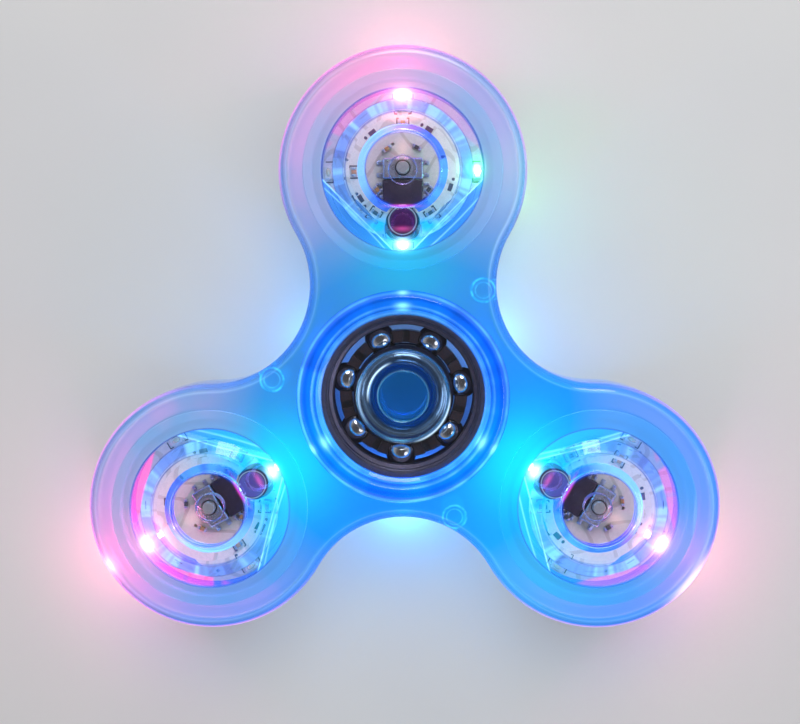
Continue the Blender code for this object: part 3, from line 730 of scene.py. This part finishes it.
def button_plastic():
    """Clear button: a little grey in its thick plate, with painted blue lamplight and glow in its skirt, a
    painted dark edge line, and painted glints and reflections of the red lamp.
    """
    look = Look("button_plastic")
    (x, y, _), point = coordinates(look.tree)
    radius = length(x, y)
    skirt = fade(radius, 4.5, BUTTON_RADIUS)
    # Painted blue lamplight in the skirt.
    look.tint = look.mix(skirt, (0.82, 0.80, 0.91), (0.12, 0.33, 0.98))
    # Painted glow in the skirt, in patches, lighter towards the upper left.
    patches = fade(noise(outwards(x, y, 1.6), 1.0, 2.0), 0.5, 0.64)
    ring = look.mix(patches, (0.0, 0.02, 0.24), (0.03, 0.18, 0.36))
    ring = look.mix(fade(y * 0.5 - x, 1.0, 5.0) * 0.8, ring, (0.25, 0.50, 0.48))
    look.light = look.mix(skirt * 0.8, BLACK, ring)
    # A painted dark edge line with painted glow along it.
    look.tone(bell(radius, BUTTON_RADIUS - 0.1, 0.13), (0.02, 0.08, 0.75))
    look.shine((0.0, 0.03, 0.32), bell(radius, BUTTON_RADIUS - 0.1, 0.12) * 0.9)
    # Painted glints and reflections of the red lamp.
    look.shine((0.7, 0.05, 0.5), spot((x, y), (0.0, -4.55), (1.7, 0.16)))
    look.shine((0.35, 0.0, 0.12), spot((x, y), (0.0, 5.1), (2.4, 0.5)))
    look.shine((0.30, 0.16, 0.10), spot((x, y), (0.0, 2.6), (0.9, 1.3)) * 0.5)
    return look.mould(point, 0.012, NEARLY_CLEAR)


def cover_plastic():
    """Battery cover, slightly milky, with the lit body's painted lamplight, paler and dimmer."""
    look = Look("cover_plastic")
    _, point = coordinates(look.tree)
    glow(look)
    look.tone(0.6, (0.93, 0.95, 1.0))
    look.dim(0.6)
    return look.mould(point, 0.02)


def turned_steel(name, color, roughness, ring_scale):
    """Ground steel with fine rings about the axis and a little staining."""
    look = Look(name)
    (x, y, z), point = coordinates(look.tree)
    rings = ((length(x, y) + z * 0.7) * ring_scale).math("SINE")
    stain = noise(point, 0.8, 4.0)
    dark = tuple(channel * 0.82 for channel in color)
    look.set("Base Color", look.mix(fade(stain, 0.35, 0.7), color, dark))
    look.set("Metallic", 1.0)
    look.set("Roughness", fade(stain, 0.3, 0.7, roughness, roughness * 1.3))
    look.bump(rings, 0.12, 0.004)
    return look.material


def grained(name, color, dark, roughness, metallic=0.0, coat=0.0):
    """A plain finish with fine grain: colour, roughness and height all vary a little."""
    look = Look(name)
    _, point = coordinates(look.tree)
    grain = noise(point, 2.5, 5.0, 0.6)
    look.set("Base Color", look.mix(fade(grain, 0.3, 0.7), color, dark))
    look.set("Roughness", fade(grain, 0.3, 0.7, roughness * 0.8, min(roughness * 1.3, 1.0)))
    look.set("Metallic", metallic)
    look.set("Coat Weight", coat)
    look.bump(grain, 0.4, 0.01)
    return look.material


def board_finish():
    """White solder mask over faint copper tracks."""
    look = Look("board_finish")
    (x, y, z), point = coordinates(look.tree)
    weave = noise(point, 3.0, 4.0)
    tracks = ((x * 0.9).math("SINE") * 3.0 + y * 1.7).math("SINE")
    mask = fade(tracks, 0.75, 0.9) * fade(z, BOARD_TOP - 0.2, BOARD_TOP - 0.05)
    color = look.mix(fade(weave, 0.3, 0.7), (0.80, 0.78, 0.79), (0.72, 0.71, 0.73))
    look.set("Base Color", look.mix(mask * 0.6, color, (0.48, 0.45, 0.44)))
    look.set("Roughness", fade(weave, 0.3, 0.7, 0.35, 0.55))
    look.set("Coat Weight", 0.3)
    look.bump(mask, 0.5, 0.03)
    return look.material


def lamp_glow(name, core, edge):
    """A lit lamp: nearly white in the middle and coloured at its edge."""
    look = Look(name)
    color = look.mix(look.facing(0.5), core, edge)
    look.set("Base Color", color)
    look.set("Emission Color", color)
    look.set("Emission Strength", LAMP_STRENGTH)
    look.set("Roughness", 0.2)
    return look.material


def paper():
    look = Look("paper")
    _, point = coordinates(look.tree)
    broad = fade(noise(point, 0.02, 2.0), 0.3, 0.7)
    look.set("Base Color", look.mix(broad, (0.80, 0.80, 0.80), (0.76, 0.765, 0.775)))
    look.set("Roughness", 0.9)
    look.bump(noise(point, 0.9, 6.0, 0.7), 0.3, 0.05)
    return look.material


MATERIALS = {
    "body": body_plastic(),
    "cap_front": cap_plastic("cap_plastic_front", False),
    "cap_rear": cap_plastic("cap_plastic_rear", True),
    "lens": lens_plastic(),
    "button": button_plastic(),
    "cover": cover_plastic(),
    # Both races are bearing steel: the outer race's dark base colour is painted shade, and the inner race's
    # light blue one is painted highlight and lamplight.
    "race": turned_steel("race_steel", (0.13, 0.11, 0.16), 0.36, 9.0),
    "inner_race": turned_steel("inner_race_steel", (0.55, 0.70, 0.86), 0.10, 9.0),
    "ball": turned_steel("ball_steel", (0.60, 0.56, 0.55), 0.07, 5.0),
    "cage": grained("cage_nylon", (0.045, 0.014, 0.018), (0.02, 0.01, 0.02), 0.35, coat=0.3),
    "board": board_finish(),
    "ink": grained("print_ink", (0.03, 0.008, 0.015), (0.05, 0.02, 0.03), 0.6),
    "chip": grained("chip_epoxy", (0.022, 0.012, 0.03), (0.035, 0.02, 0.04), 0.4),
    "tin": grained("tinned_metal", (0.75, 0.75, 0.76), (0.55, 0.55, 0.57), 0.28, 1.0),
    "ceramic": grained("ceramic_brown", (0.55, 0.30, 0.14), (0.42, 0.22, 0.10), 0.5),
    "resistor": grained("resistor_black", (0.05, 0.05, 0.06), (0.09, 0.09, 0.1), 0.4),
    "switch": grained("switch_cover", (0.62, 0.62, 0.64), (0.45, 0.45, 0.48), 0.3, 0.9),
    "switch_base": grained("switch_base", (0.16, 0.15, 0.17), (0.10, 0.10, 0.11), 0.5),
    "plunger": grained("plunger_plastic", (0.42, 0.41, 0.44), (0.34, 0.34, 0.37), 0.5),
    "cell": turned_steel("cell_steel", (0.76, 0.76, 0.74), 0.2, 18.0),
    "gasket": grained("cell_gasket", (0.10, 0.16, 0.14), (0.07, 0.11, 0.10), 0.6),
    "contact": grained("contact_metal", (0.80, 0.74, 0.58), (0.66, 0.58, 0.42), 0.28, 1.0),
    "screw": grained("screw_oxide", (0.035, 0.03, 0.04), (0.07, 0.06, 0.07), 0.35, 0.8),
    "housing": grained("lamp_housing", (0.88, 0.87, 0.84), (0.80, 0.79, 0.76), 0.4),
    "unlit": grained("lamp_unlit", (0.85, 0.80, 0.55), (0.75, 0.72, 0.5), 0.25, coat=0.5),
    "red": lamp_glow("lamp_red", (1.0, 0.85, 0.90), (1.0, 0.15, 0.45)),
    "green": lamp_glow("lamp_green", (0.85, 1.0, 0.85), (0.10, 1.0, 0.35)),
    "blue": lamp_glow("lamp_blue", (0.70, 1.0, 1.0), (0.0, 0.65, 1.0)),
}


# Placing

finished_meshes = {}


def finish(mesh, material):
    """The mesh in metres with its material, made once and shared by the pieces that show it."""
    key = (mesh.name, material)
    if key not in finished_meshes:
        shown = mesh.copy()
        shown.transform(Matrix.Scale(MM, 4))
        shown.shade_smooth()
        shown.set_sharp_from_angle(angle=SHARP_ANGLE)
        shown.materials.append(MATERIALS[material])
        finished_meshes[key] = shown
    return finished_meshes[key]


def piece(name, mesh, material, body, replaces=(), place=None):
    """Shows a mesh, which is in millimetres, as a piece that rides its body."""
    made = add_object(name, finish(mesh, material))
    if place is not None:
        made.matrix_world = place
    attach(made, body)
    if replaces:
        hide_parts(*replaces)


def shift(x, y, z=0.0):
    """A move for placing pieces, given in millimetres."""
    return Matrix.Translation(Vector((x, y, z)) * MM)


# Body shells

def rounded_edge(inset, face, radius, start, steps=8):
    """Sections of a wall that turns into a flat face through a quarter round."""
    sections = [(trefoil(inset), start)]
    for step in range(steps + 1):
        angle = radians(90 * step / steps)
        sections.append((trefoil(inset + radius * (1 - cos(angle))), face - radius * (1 - sin(angle))))
    return sections


def half_shell(with_pegs):
    """Half the body, hollow, with the bearing's seat, the capsules' sockets, and pegs or their holes."""
    outside = loft(rounded_edge(0.0, SHELL_FACE, SHELL_EDGE, SEAM))
    inside = loft(rounded_edge(SHELL_WALL, SHELL_FACE - SHELL_SKIN, 0.7, -1.0, 4))
    top = SHELL_FACE - 0.7
    tubes = in_lobes(drum(SOCKET_RADIUS + SOCKET_WALL, SEAM, top))
    seat_tube = drum(SEAT_RADIUS + SEAT_WALL, SEAM, top)
    spots = [polar(BOSS_DISTANCE, BOSS_ANGLE + LOBE_PITCH * lobe) for lobe in range(LOBES)]
    bosses = [cylinder(at, BOSS_RADIUS, 0.15, top, 32) for at in spots]
    seat = lathe([
        (0, -1), (SEAT_RADIUS, -1), (SEAT_RADIUS, SEAT_DEPTH), (SHELL_LIP, SEAT_DEPTH),
        (SHELL_LIP, SHELL_FACE - 0.3), (SHELL_LIP + 0.5, SHELL_FACE + 0.2), (0, SHELL_FACE + 0.2),
    ])
    if with_pegs:
        peg = lathe([(0, -2.4), (0.6, -2.4), (PEG_RADIUS, -2.1), (PEG_RADIUS, 1.0), (0, 1.0)], 32)
        last = (JOIN, group([moved(peg, (*at, 0)) for at in spots]))
    else:
        last = (CUT, group([cylinder(at, PEG_HOLE, -1.0, 2.7, 32) for at in spots]))
    return combine(
        outside, (CUT, inside), (JOIN, group([tubes, seat_tube, *bosses])),
        (CUT, seat), (CUT, in_lobes(drum(SOCKET_RADIUS, -1, 6))), last,
    )


piece("shell_front", half_shell(True), "body", "spinner_body", ["front_shell"])
piece("shell_rear", mirrored(half_shell(False)), "body", "spinner_body", ["rear_shell"])


# Finger caps

def finger_cap():
    """Dished plate, thick rounded rim, and a hollow stem with a small lead-in at its end."""
    rim, seat = CAP_RADIUS, RACE_HALF + 0.06
    return lathe(soften([
        (0, CAP_UNDER), (STEM_BORE, CAP_UNDER), (STEM_BORE, 0.25), (STEM_RADIUS, 0.25), (STEM_RADIUS, seat),
        (5.7, seat), (5.7, CAP_UNDER), (rim - 0.5, CAP_UNDER), (rim, CAP_UNDER + 0.5), (rim, CAP_TOP - 0.8),
        (rim - 0.8, CAP_TOP), (rim - 1.9, CAP_TOP), (rim - 2.6, CAP_PLATE + 0.25), (CAP_FOOT, CAP_PLATE),
        (0, CAP_PLATE),
    ], 0.35, 5), 128)


cap = finger_cap()
piece("cap_front", cap, "cap_front", "hub", ["front_cap"])
piece("cap_rear", mirrored(cap), "cap_rear", "hub", ["rear_cap"])


# Bearing

def groove(shoulder, side):
    half = degrees(acos(abs(shoulder - BALL_PITCH) / GROOVE_RADIUS))
    return arc((BALL_PITCH, 0.0), GROOVE_RADIUS, side + half, side - half, 14)


def outer_race():
    """Outer race with a shield groove cut in each face's bore edge."""
    top = RACE_HALF
    profile = [
        (RACE_OUTER, -top), (RACE_OUTER, top), (9.75, top), (9.75, top - 0.35), (9.5, top - 0.45),
        (9.5, top - 0.9), (OUTER_SHOULDER, top - 1.0),
    ]
    lower = [(radius, -height) for radius, height in profile[:1:-1]]
    return lathe(soften(profile, 0.25, 3) + groove(OUTER_SHOULDER, 0) + soften(lower, 0.05, 1), 128)


def inner_race():
    top = RACE_HALF
    profile = [(RACE_BORE, top), (RACE_BORE, -top), (5.75, -top), (INNER_SHOULDER, -top + 0.8)]
    upper = [(INNER_SHOULDER, top - 0.8), (5.75, top)]
    return lathe(soften(profile, 0.3, 4) + groove(INNER_SHOULDER, 180) + upper, 128)


def cage():
    """Crown cage: a ring behind the balls with an open-fronted pocket for each and a relief between two."""
    ring = lathe(soften([
        (CAGE_INNER, CAGE_BACK), (CAGE_OUTER, CAGE_BACK), (CAGE_OUTER, CAGE_FRONT), (CAGE_INNER, CAGE_FRONT),
    ], 0.15, 3), 112)
    pocket = bmesh.new()
    bmesh.ops.create_uvsphere(pocket, u_segments=40, v_segments=24, radius=BALL_RADIUS + 0.09)
    pocket = mesh_from(pocket)
    pockets = [moved(pocket, at) for at in BALL_SPOTS]
    first = degrees(atan2(BALL_SPOTS[0].y, BALL_SPOTS[0].x))
    reliefs = [
        box((BALL_PITCH, 0), (3.0, 0.9), 0.2, 2.0, 0.1, first + 360 / BALLS * (number + 0.5))
        for number in range(BALLS)
    ]
    return combine(ring, (CUT, group(pockets)), (CUT, group(reliefs)))


def ball():
    """Ground ball, from a subdivided cube cast to a sphere."""
    shape = bmesh.new()
    bmesh.ops.create_cube(shape, size=1.0)
    bmesh.ops.subdivide_edges(shape, edges=shape.edges[:], cuts=15, use_grid_fill=True)
    for vertex in shape.verts:
        vertex.co = vertex.co.normalized() * BALL_RADIUS
    return mesh_from(shape)


piece("race_outer", outer_race(), "race", "spinner_body", ["bearing_outer_race"])
piece("race_inner", inner_race(), "inner_race", "hub", ["bearing_inner_race"])
piece("cage_crown", cage(), "cage", "ball_cage", ["bearing_cage"])
ball_mesh = ball()
for number, at in enumerate(BALL_SPOTS, 1):
    body, replaces = f"ball_{number}", [f"bearing_ball_{number}"]
    piece(f"ball_steel_{number}", ball_mesh, "ball", body, replaces, shift(*at))


# Capsule pieces, in the capsule's frame

def lens():
    """Flanged cup with a raised plateau round the button's window, and a boss for the screw."""
    face = PLATEAU_TOP - 1.1
    shell = lathe(soften([
        (LENS_RADIUS, -0.55), (LENS_RADIUS, face - 0.57), (LIP_OUTER, face - 0.57), (LIP_OUTER, face),
        (PLATEAU_FOOT, face), (PLATEAU_RADIUS, PLATEAU_TOP), (WINDOW_RADIUS, PLATEAU_TOP),
        (WINDOW_RADIUS, face - 0.2), (6.6, face - 0.2), (8.0, 4.6), (LENS_INNER, 4.6), (LENS_INNER, -0.55),
    ], 0.12, 4), 120)
    boss = combine(
        cylinder(SCREW_SPOT, LENS_BOSS, -3.5, face - 0.12),
        (CUT, cylinder((0, 0), WINDOW_RADIUS, 3.0, 8.0, 120)),
    )
    pilot = lathe(soften([(0, -4.5), (1.45, -4.5), (1.45, 2.7), (0.9, 2.9), (0, 2.9)], 0.1, 2), 48)
    return combine(shell, (JOIN, boss), (CUT, moved(pilot, (*SCREW_SPOT, 0))))


def button():
    """Thick clear plate with a slightly domed top, a wider skirt below, and a stem over the switch."""
    plate = lathe(soften([
        (0, 3.35), (1.75, 3.35), (1.75, 4.9), (4.65, 4.9), (4.65, 3.7), (5.65, 3.7), (5.65, 5.35),
        (BUTTON_RADIUS, 5.35), (BUTTON_RADIUS, BUTTON_TOP - 0.2), (4.45, BUTTON_TOP - 0.12),
        (2.4, BUTTON_TOP - 0.03), (0, BUTTON_TOP),
    ], 0.12, 4), 96)
    return combine(plate, (CUT, cylinder(SCREW_SPOT, LENS_BOSS + 0.3, 2.7, 5.4)))


def corners(middle_y, across, along):
    return [(x, middle_y + y) for x in (-across, across) for y in (-along, along)]


def switch_cover():
    """Folded steel cover with a raised collar round the plunger and a dimple at each corner."""
    collar = lathe(soften([(0.95, 2.3), (1.2, 2.3), (1.2, 2.6), (0.95, 2.6)], 0.05, 2), 48)
    dimples = [cylinder(at, 0.18, 2.4, 3.0, 20) for at in corners(SWITCH_SPOT[1], 2.0, 0.85)]
    return combine(
        box(SWITCH_SPOT, (4.8, 2.5), 1.75, 2.5, 0.18), (CUT, cylinder(SWITCH_SPOT, 0.95, 1.5, 3.0)),
        (CUT, group(dimples)), (JOIN, moved(collar, (*SWITCH_SPOT, 0))),
    )


def switch_base():
    """Moulded base with a well that the plunger sinks into."""
    base = box(SWITCH_SPOT, (4.7, 2.4), BOARD_TOP + 0.05, 1.72, 0.08)
    return combine(base, (CUT, cylinder(SWITCH_SPOT, 0.92, 1.42, 2.0)))


def terminals(spots, size, bottom, top):
    """Small flat terminals on the board, softened at their edges; heights are from the board's face."""
    return group([box(at, size, BOARD_TOP + bottom, BOARD_TOP + top, 0.04) for at in spots])


VIAS = ((8.3, 40), (8.6, 118), (8.2, 152), (6.6, 205), (5.4, 20), (3.6, 110), (8.7, 168), (6.4, 340))


def board():
    """Round board with two straight cuts, a screw hole, and the spring tab down to the first cell."""
    half = degrees(acos(BOARD_CUT / BOARD_RADIUS))
    outline = arc((0, 0), BOARD_RADIUS, half - 45, 225 - half, 72)
    outline += arc((0, 0), BOARD_RADIUS, 225 + half, 315 - half, 8)
    vias = [cylinder(polar(*at), 0.22, 0.0, 2.0, 16) for at in VIAS]
    post = box((7.87, 4.3), (0.25, 1.4), -3.65, 0.35, 0.05)
    foot = box((3.5, 4.3), (9.0, 1.3), -3.7, -3.5, 0.05)
    return combine(
        loft([(outline, 0.3), (outline, BOARD_TOP)]),
        (CUT, cylinder(SCREW_SPOT, LENS_BOSS + 0.15, 0.0, 2.0)), (CUT, group(vias)),
        (JOIN, post), (JOIN, foot),
    )


def board_print():
    """Printed marks: part outlines, corner brackets and groups of plain strokes, with no lettering."""
    bottom, top = BOARD_TOP + 0.004, BOARD_TOP + 0.024
    marks = []

    def bar(out, angle, size, across=0.0):
        marks.append(moved(box((0, 0), size, bottom, top), (out, across, 0), angle))

    for angle in (58, 342, 212, 128):
        bar(6.45, angle, (0.55, 1.0))
        marks.append(moved(cylinder((0, 0), 0.2, bottom, top, 20), (6.45, 1.1, 0), angle))
    for side in (-1, 1):
        for angle in (180, 236, 304, 90):
            bar(6.35, angle, (1.1, 0.15), side * 0.78)
            for end in (-0.5, 0.5):
                bar(6.35 + end, angle, (0.15, 0.3), side * 0.66)
        for angle in (90, 0, 270, 180):
            bar(LAMP_DISTANCE - 0.1, angle, (0.9, 0.13), side * 1.3)
            bar(LAMP_DISTANCE - 0.6, angle, (0.13, 0.5), side * 1.1)
        for angle in (90 + side * 28, 270 + side * 62):
            bar(8.3, angle, (0.13, 1.0))
    return group(marks)


def chip():
    """Moulded chip with softened edges and a round first-pin mark."""
    body = box((0, -2.65), (4.9, 3.2), BOARD_TOP + 0.12, 2.3, 0.12)
    return combine(body, (CUT, cylinder((-1.9, -1.6), 0.28, 2.22, 3.0, 24)))


def chip_pins():
    pins = []
    for side in (-1, 1):
        for row in range(4):
            y = -2.65 + (row - 1.5) * 0.78
            for x, width, bottom, top in (
                (2.62, 0.36, 1.5, 1.66), (2.82, 0.14, BOARD_TOP + 0.02, 1.64),
                (3.06, 0.42, BOARD_TOP + 0.02, BOARD_TOP + 0.16),
            ):
                pins.append(box((side * x, y), (width, 0.34), bottom, top, 0.03))
    return group(pins)


LAMP_WELL = Matrix.Diagonal((1.7, 0.92, 1, 1))


def lamp_housing():
    """White lamp package with a long reflector well."""
    base, top = BOARD_TOP + 0.3, BOARD_TOP + 0.8
    well = lathe([(0, base), (0.27, base), (0.36, top), (0, top)], 32)
    well.transform(LAMP_WELL)
    return combine(box((0, 0), LAMP_SIZE.xy, BOARD_TOP + 0.05, BOARD_TOP + 0.6, 0.06), (CUT, well))


def lamp_dome():
    """Resin in the lamp's well, domed a little above the package."""
    base = BOARD_TOP + 0.34
    profile = [(0, base), (0.26, base), (0.3, base + 0.26), (0.2, base + 0.36), (0, base + 0.4)]
    dome = lathe(soften(profile, 0.1, 4), 32)
    dome.transform(LAMP_WELL)
    return dome


def cell_can():
    return lathe(soften([
        (0, CELL_BOTTOM), (CELL_RADIUS - 0.25, CELL_BOTTOM), (CELL_RADIUS, CELL_BOTTOM + 0.25),
        (CELL_RADIUS, CELL_TOP - 0.35), (CELL_RADIUS - 0.3, CELL_TOP - 0.18), (3.1, CELL_TOP - 0.18),
        (3.1, CELL_TOP - 0.5), (0, CELL_TOP - 0.5),
    ], 0.15, 4), 64)


def cell_cap():
    base, top = CELL_TOP - 0.45, CELL_TOP
    return lathe(soften([(0, base), (2.75, base), (2.75, top - 0.1), (2.55, top), (0, top)], 0.12, 3), 64)


def cell_gasket():
    base, top = CELL_TOP - 0.45, CELL_TOP - 0.12
    return lathe([(2.8, base), (3.05, base), (3.05, top), (2.8, top)], 64)


def battery_cover():
    """Back dish with a spigot, a pad under each cell, and a recessed seat and hole for the screw."""
    back, lip, flange = COVER_BACK, LIP_OUTER, COVER_BACK + 0.57
    dish = lathe(soften([
        (0, back + 0.15), (9.9, back + 0.15), (10.2, back), (lip - 0.25, back), (lip, back + 0.25),
        (lip, flange), (LENS_RADIUS, flange), (LENS_RADIUS, -0.65), (10.25, -0.65), (10.25, 0.22),
        (9.6, 0.22), (9.6, -4.5), (0, -4.5),
    ], 0.15, 3), 120)
    pads = [cylinder((at.x, at.y), 0.8, -4.7, -3.8, 32) for at in CELL_SPOTS.values()]
    recess, hole = cylinder(SCREW_SPOT, 2.5, -7.0, -4.4), cylinder(SCREW_SPOT, 1.5, -5.0, 0.0)
    return combine(
        dish, (JOIN, cylinder(SCREW_SPOT, 3.0, -4.7, -3.6)), (JOIN, group(pads)),
        (CUT, recess), (CUT, hole),
    )


def screw():
    """Pan-head screw with a cross recess and a helical thread."""
    back, top = SCREW_BACK, -4.48
    profile = [(0, back), (1.7, back), (2.25, back + 0.45), (2.3, top), (1.1, top), (0, top)]
    head = lathe(soften(profile, 0.2, 4), 64)
    slots = [box((0, 0), size, back - 1, back + 0.6) for size in ((2.4, 0.5), (0.5, 2.4))]
    shank = threaded_shank(1.05, 1.33, top - 0.1, SCREW_END, 0.75)
    return moved(combine(head, *[(CUT, slot) for slot in slots], (JOIN, shank)), (*SCREW_SPOT, 0))


def threaded_shank(core, crest, bottom, top, lead):
    """A round shank whose radius follows a helix, tapering at its end."""
    columns, rows = 36, int((top - bottom) / lead * 14)
    sections = []
    for row in range(rows + 1):
        height = bottom + (top - bottom) * row / rows
        taper = min(1.0, (top - height) / 0.8 + 0.45)
        ring = []
        for column in range(columns):
            share = column / columns
            ridge = max(0.0, 1 - abs((height / lead - share) % 1.0 - 0.5) / 0.28)
            ring.append(polar((core + (crest - core) * ridge) * taper, 360 * share))
        sections.append((ring, height))
    return loft(sections)


SHAPES = {
    "lens": lens(), "button": button(), "switch": switch_cover(), "base": switch_base(),
    "plunger": lathe(soften([(0, 2.1), (0.8, 2.1), (0.8, 3.3), (0, 3.3)], 0.15, 4), 40),
    "board": board(), "print": board_print(), "chip": chip(), "pins": chip_pins(),
    "legs": terminals(corners(SWITCH_SPOT[1], 2.75, 0.75), (0.9, 0.5), 0.02, 0.2),
    "housing": lamp_housing(), "dome": lamp_dome(), "cover": battery_cover(), "screw": screw(),
    "can": cell_can(), "cap": cell_cap(), "gasket": cell_gasket(),
    "part": box((0, 0), (0.5, 0.6), BOARD_TOP + 0.02, BOARD_TOP + 0.5, 0.06),
    "ends": terminals([(0, -0.42), (0, 0.42)], (0.52, 0.26), 0.01, 0.53),
}

# Each capsule's pieces that sit at its middle: name, shape, material, slot and the CAD node they stand for
CENTRAL_PIECES = (
    ("lens", "lens", "lens", "clear_plastic", "pod_lens"),
    ("cover", "cover", "cover", "clear_plastic", "battery_cover"),
    ("board", "board", "board", "board", "circuit_board"),
    ("board_print", "print", "ink", "chip_black", None),
    ("chip", "chip", "chip", "chip_black", "driver_chip"),
    ("chip_pins", "pins", "tin", "contact_metal", None),
    ("switch", "switch", "switch", "switch_plastic", "switch_body"),
    ("switch_base", "base", "switch_base", "switch_plastic", None),
    ("switch_legs", "legs", "tin", "contact_metal", None),
    ("screw", "screw", "screw", "screw_black", "cover_screw"),
)

# The board's small parts: distance from the middle, angle and kind
SMALL_PARTS = (
    (6.35, 180, "ceramic"), (6.35, 236, "resistor"), (6.35, 304, "resistor"), (6.35, 90, "ceramic"),
    (3.9, 215, "ceramic"), (3.9, 325, "resistor"), (3.4, 60, "resistor"), (3.4, 125, "ceramic"),
)

# The board's lamps: colour and angle. The spare place holds a package that is never lit
LAMPS = (("red", 90), ("green", 0), ("blue", 270), ("spare", 180))
LAMP_LIGHTS = {
    "red": ((1.0, 0.20, 0.42), 0.006), "green": ((0.3, 1.0, 0.5), 0.0025), "blue": ((0.05, 0.55, 1.0), 0.006),
}


def fit_capsule(lobe):
    number = lobe + 1
    home = turn(LOBE_PITCH * lobe) @ shift(0, LOBE_DISTANCE)

    def fit(name, shape, material, slot, node=None, place=home, body="spinner_body"):
        replaces = [f"{node}_{number}"] if node else ()
        piece(f"{name}_{number}", SHAPES[shape], material, body, replaces, place)

    for row in CENTRAL_PIECES:
        fit(*row)
    for index, (distance, angle, kind) in enumerate(SMALL_PARTS, 1):
        place = home @ turn(angle) @ shift(distance, 0)
        fit(f"part_{index}", "part", kind, "chip_black", None, place)
        fit(f"part_ends_{index}", "ends", "tin", "contact_metal", None, place)
    for letter, at in CELL_SPOTS.items():
        place = home @ shift(at.x, at.y)
        fit(f"cell_can_{letter}", "can", "cell", "cell_steel", f"cell_{letter}", place)
        fit(f"cell_cap_{letter}", "cap", "cell", "cell_steel", None, place)
        fit(f"cell_gasket_{letter}", "gasket", "gasket", "chip_black", None, place)
    for color, angle in LAMPS:
        place = home @ turn(angle - 90) @ shift(0, LAMP_DISTANCE)
        spare = color == "spare"
        slot = "lamp_green" if spare else f"lamp_{color}"
        fit(f"lamp_{color}_housing", "housing", "housing", slot, None if spare else f"led_{color}", place)
        lit = not spare and (color != "green" or lobe == 0)
        fit(f"lamp_{color}_dome", "dome", color if lit else "unlit", slot, None, place)
        if lit:
            above = place @ shift(0, 0, BOARD_TOP + 1.3)
            point_light(f"lamp_light_{color}_{number}", *LAMP_LIGHTS[color], 0.4, above)
    moving = f"button_{number}"
    fit("push_button", "button", "button", "clear_plastic", "pod_button", home, moving)
    fit("plunger", "plunger", "plunger", "plunger_grey", "switch_plunger", home @ shift(*SWITCH_SPOT), moving)


def point_light(name, tone, power, radius, place, seen=True):
    """A small coloured light that turns with the body."""
    data = bpy.data.lights.new(name, "POINT")
    data.color = tone
    data.energy = power
    data.shadow_soft_size = radius * MM
    light = add_object(name, data)
    light.matrix_world = place
    light.visible_camera = light.visible_glossy = light.visible_transmission = seen
    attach(light, "spinner_body")


# The power of the light that leaks out low down at each lobe's tip and at the waist after it
LEAK_POWERS = ((0.0022, 0.001), (0.004, 0.005), (0.0025, 0.0012))


def add_leaks():
    """Light that leaves the plastic low down: pink at the tips, blue at the waists and green at one side."""
    leaks = []
    for lobe, (tip_power, waist_power) in enumerate(LEAK_POWERS):
        tip = polar(LOBE_DISTANCE + LOBE_RADIUS - 2.0, heading(lobe))
        waist = polar(WAIST_DISTANCE - 1.0, heading(lobe) + LOBE_PITCH / 2)
        leaks.append((f"leak_tip_{lobe + 1}", (1.0, 0.20, 0.20), tip_power, tip))
        leaks.append((f"leak_waist_{lobe + 1}", (0.08, 0.40, 1.0), waist_power, waist))
    leaks.append(("leak_green", (0.25, 1.0, 0.40), 0.00028, (LOBE_RADIUS - 1.0, LOBE_DISTANCE - 3.0)))
    for name, tone, power, at in leaks:
        point_light(name, tone, power, 2.0, shift(*at, -4), seen=False)


for lobe in range(LOBES):
    fit_capsule(lobe)
add_leaks()
for number in range(1, LOBES + 1):
    strip = frame["nodes"][f"contact_strip_{number}"].data.materials
    strip.clear()
    strip.append(MATERIALS["contact"])


# Stage, lights and camera

def floor():
    shape = bmesh.new()
    bmesh.ops.create_grid(shape, x_segments=2, y_segments=2, size=2.5)
    mesh = mesh_from(shape)
    mesh.materials.append(paper())
    made = add_object("floor", mesh)
    made.location.z = cad_low.z - 0.02 * MM


def soft_light(name, at, size, power, color):
    data = bpy.data.lights.new(name, "AREA")
    data.shape = "DISK"
    data.size = size
    data.energy = power
    data.color = color
    light = add_object(name, data)
    light.location = at
    light.rotation_euler = (-Vector(at)).to_track_quat("-Z", "Y").to_euler()


def camera():
    """Looks down on the spinner, very nearly straight, from close enough that raised parts lean outwards."""
    data = bpy.data.cameras.new("camera")
    data.sensor_width = 36.0
    data.lens = 61.4
    data.clip_start = 0.01
    made = add_object("camera", data)
    made.location = (2.2 * MM, 14.5 * MM, 175.6 * MM)
    made.rotation_euler = (radians(-3.43), radians(0.86), radians(-0.16))
    bpy.context.scene.camera = made


def sky():
    """Pale room, darker straight overhead, where the camera is."""
    world = bpy.data.worlds.new("studio")
    world.use_nodes = True
    tree = world.node_tree
    up = split(add_node(tree, "TexCoord", (), "Generated"))[2]
    background = tree.nodes["Background"]
    color = blend(tree, fade(up, 0.55, 0.95), (0.97, 0.97, 0.97), (0.16, 0.16, 0.17))
    connect(tree, background.inputs["Color"], color)
    background.inputs["Strength"].default_value = 0.66
    bpy.context.scene.world = world


floor()
sky()
soft_light("key", (0.03, 0.28, 0.26), 0.20, 0.58, (1.0, 0.985, 0.95))
soft_light("fill", (0.30, -0.10, 0.40), 0.25, 0.35, (0.93, 0.96, 1.0))
camera()
scene = bpy.context.scene
scene.view_settings.view_transform = "Standard"
scene.cycles.max_bounces = 24
scene.cycles.transmission_bounces = 24
scene.cycles.transparent_max_bounces = 32
scene.cycles.caustics_reflective = False
scene.cycles.caustics_refractive = False
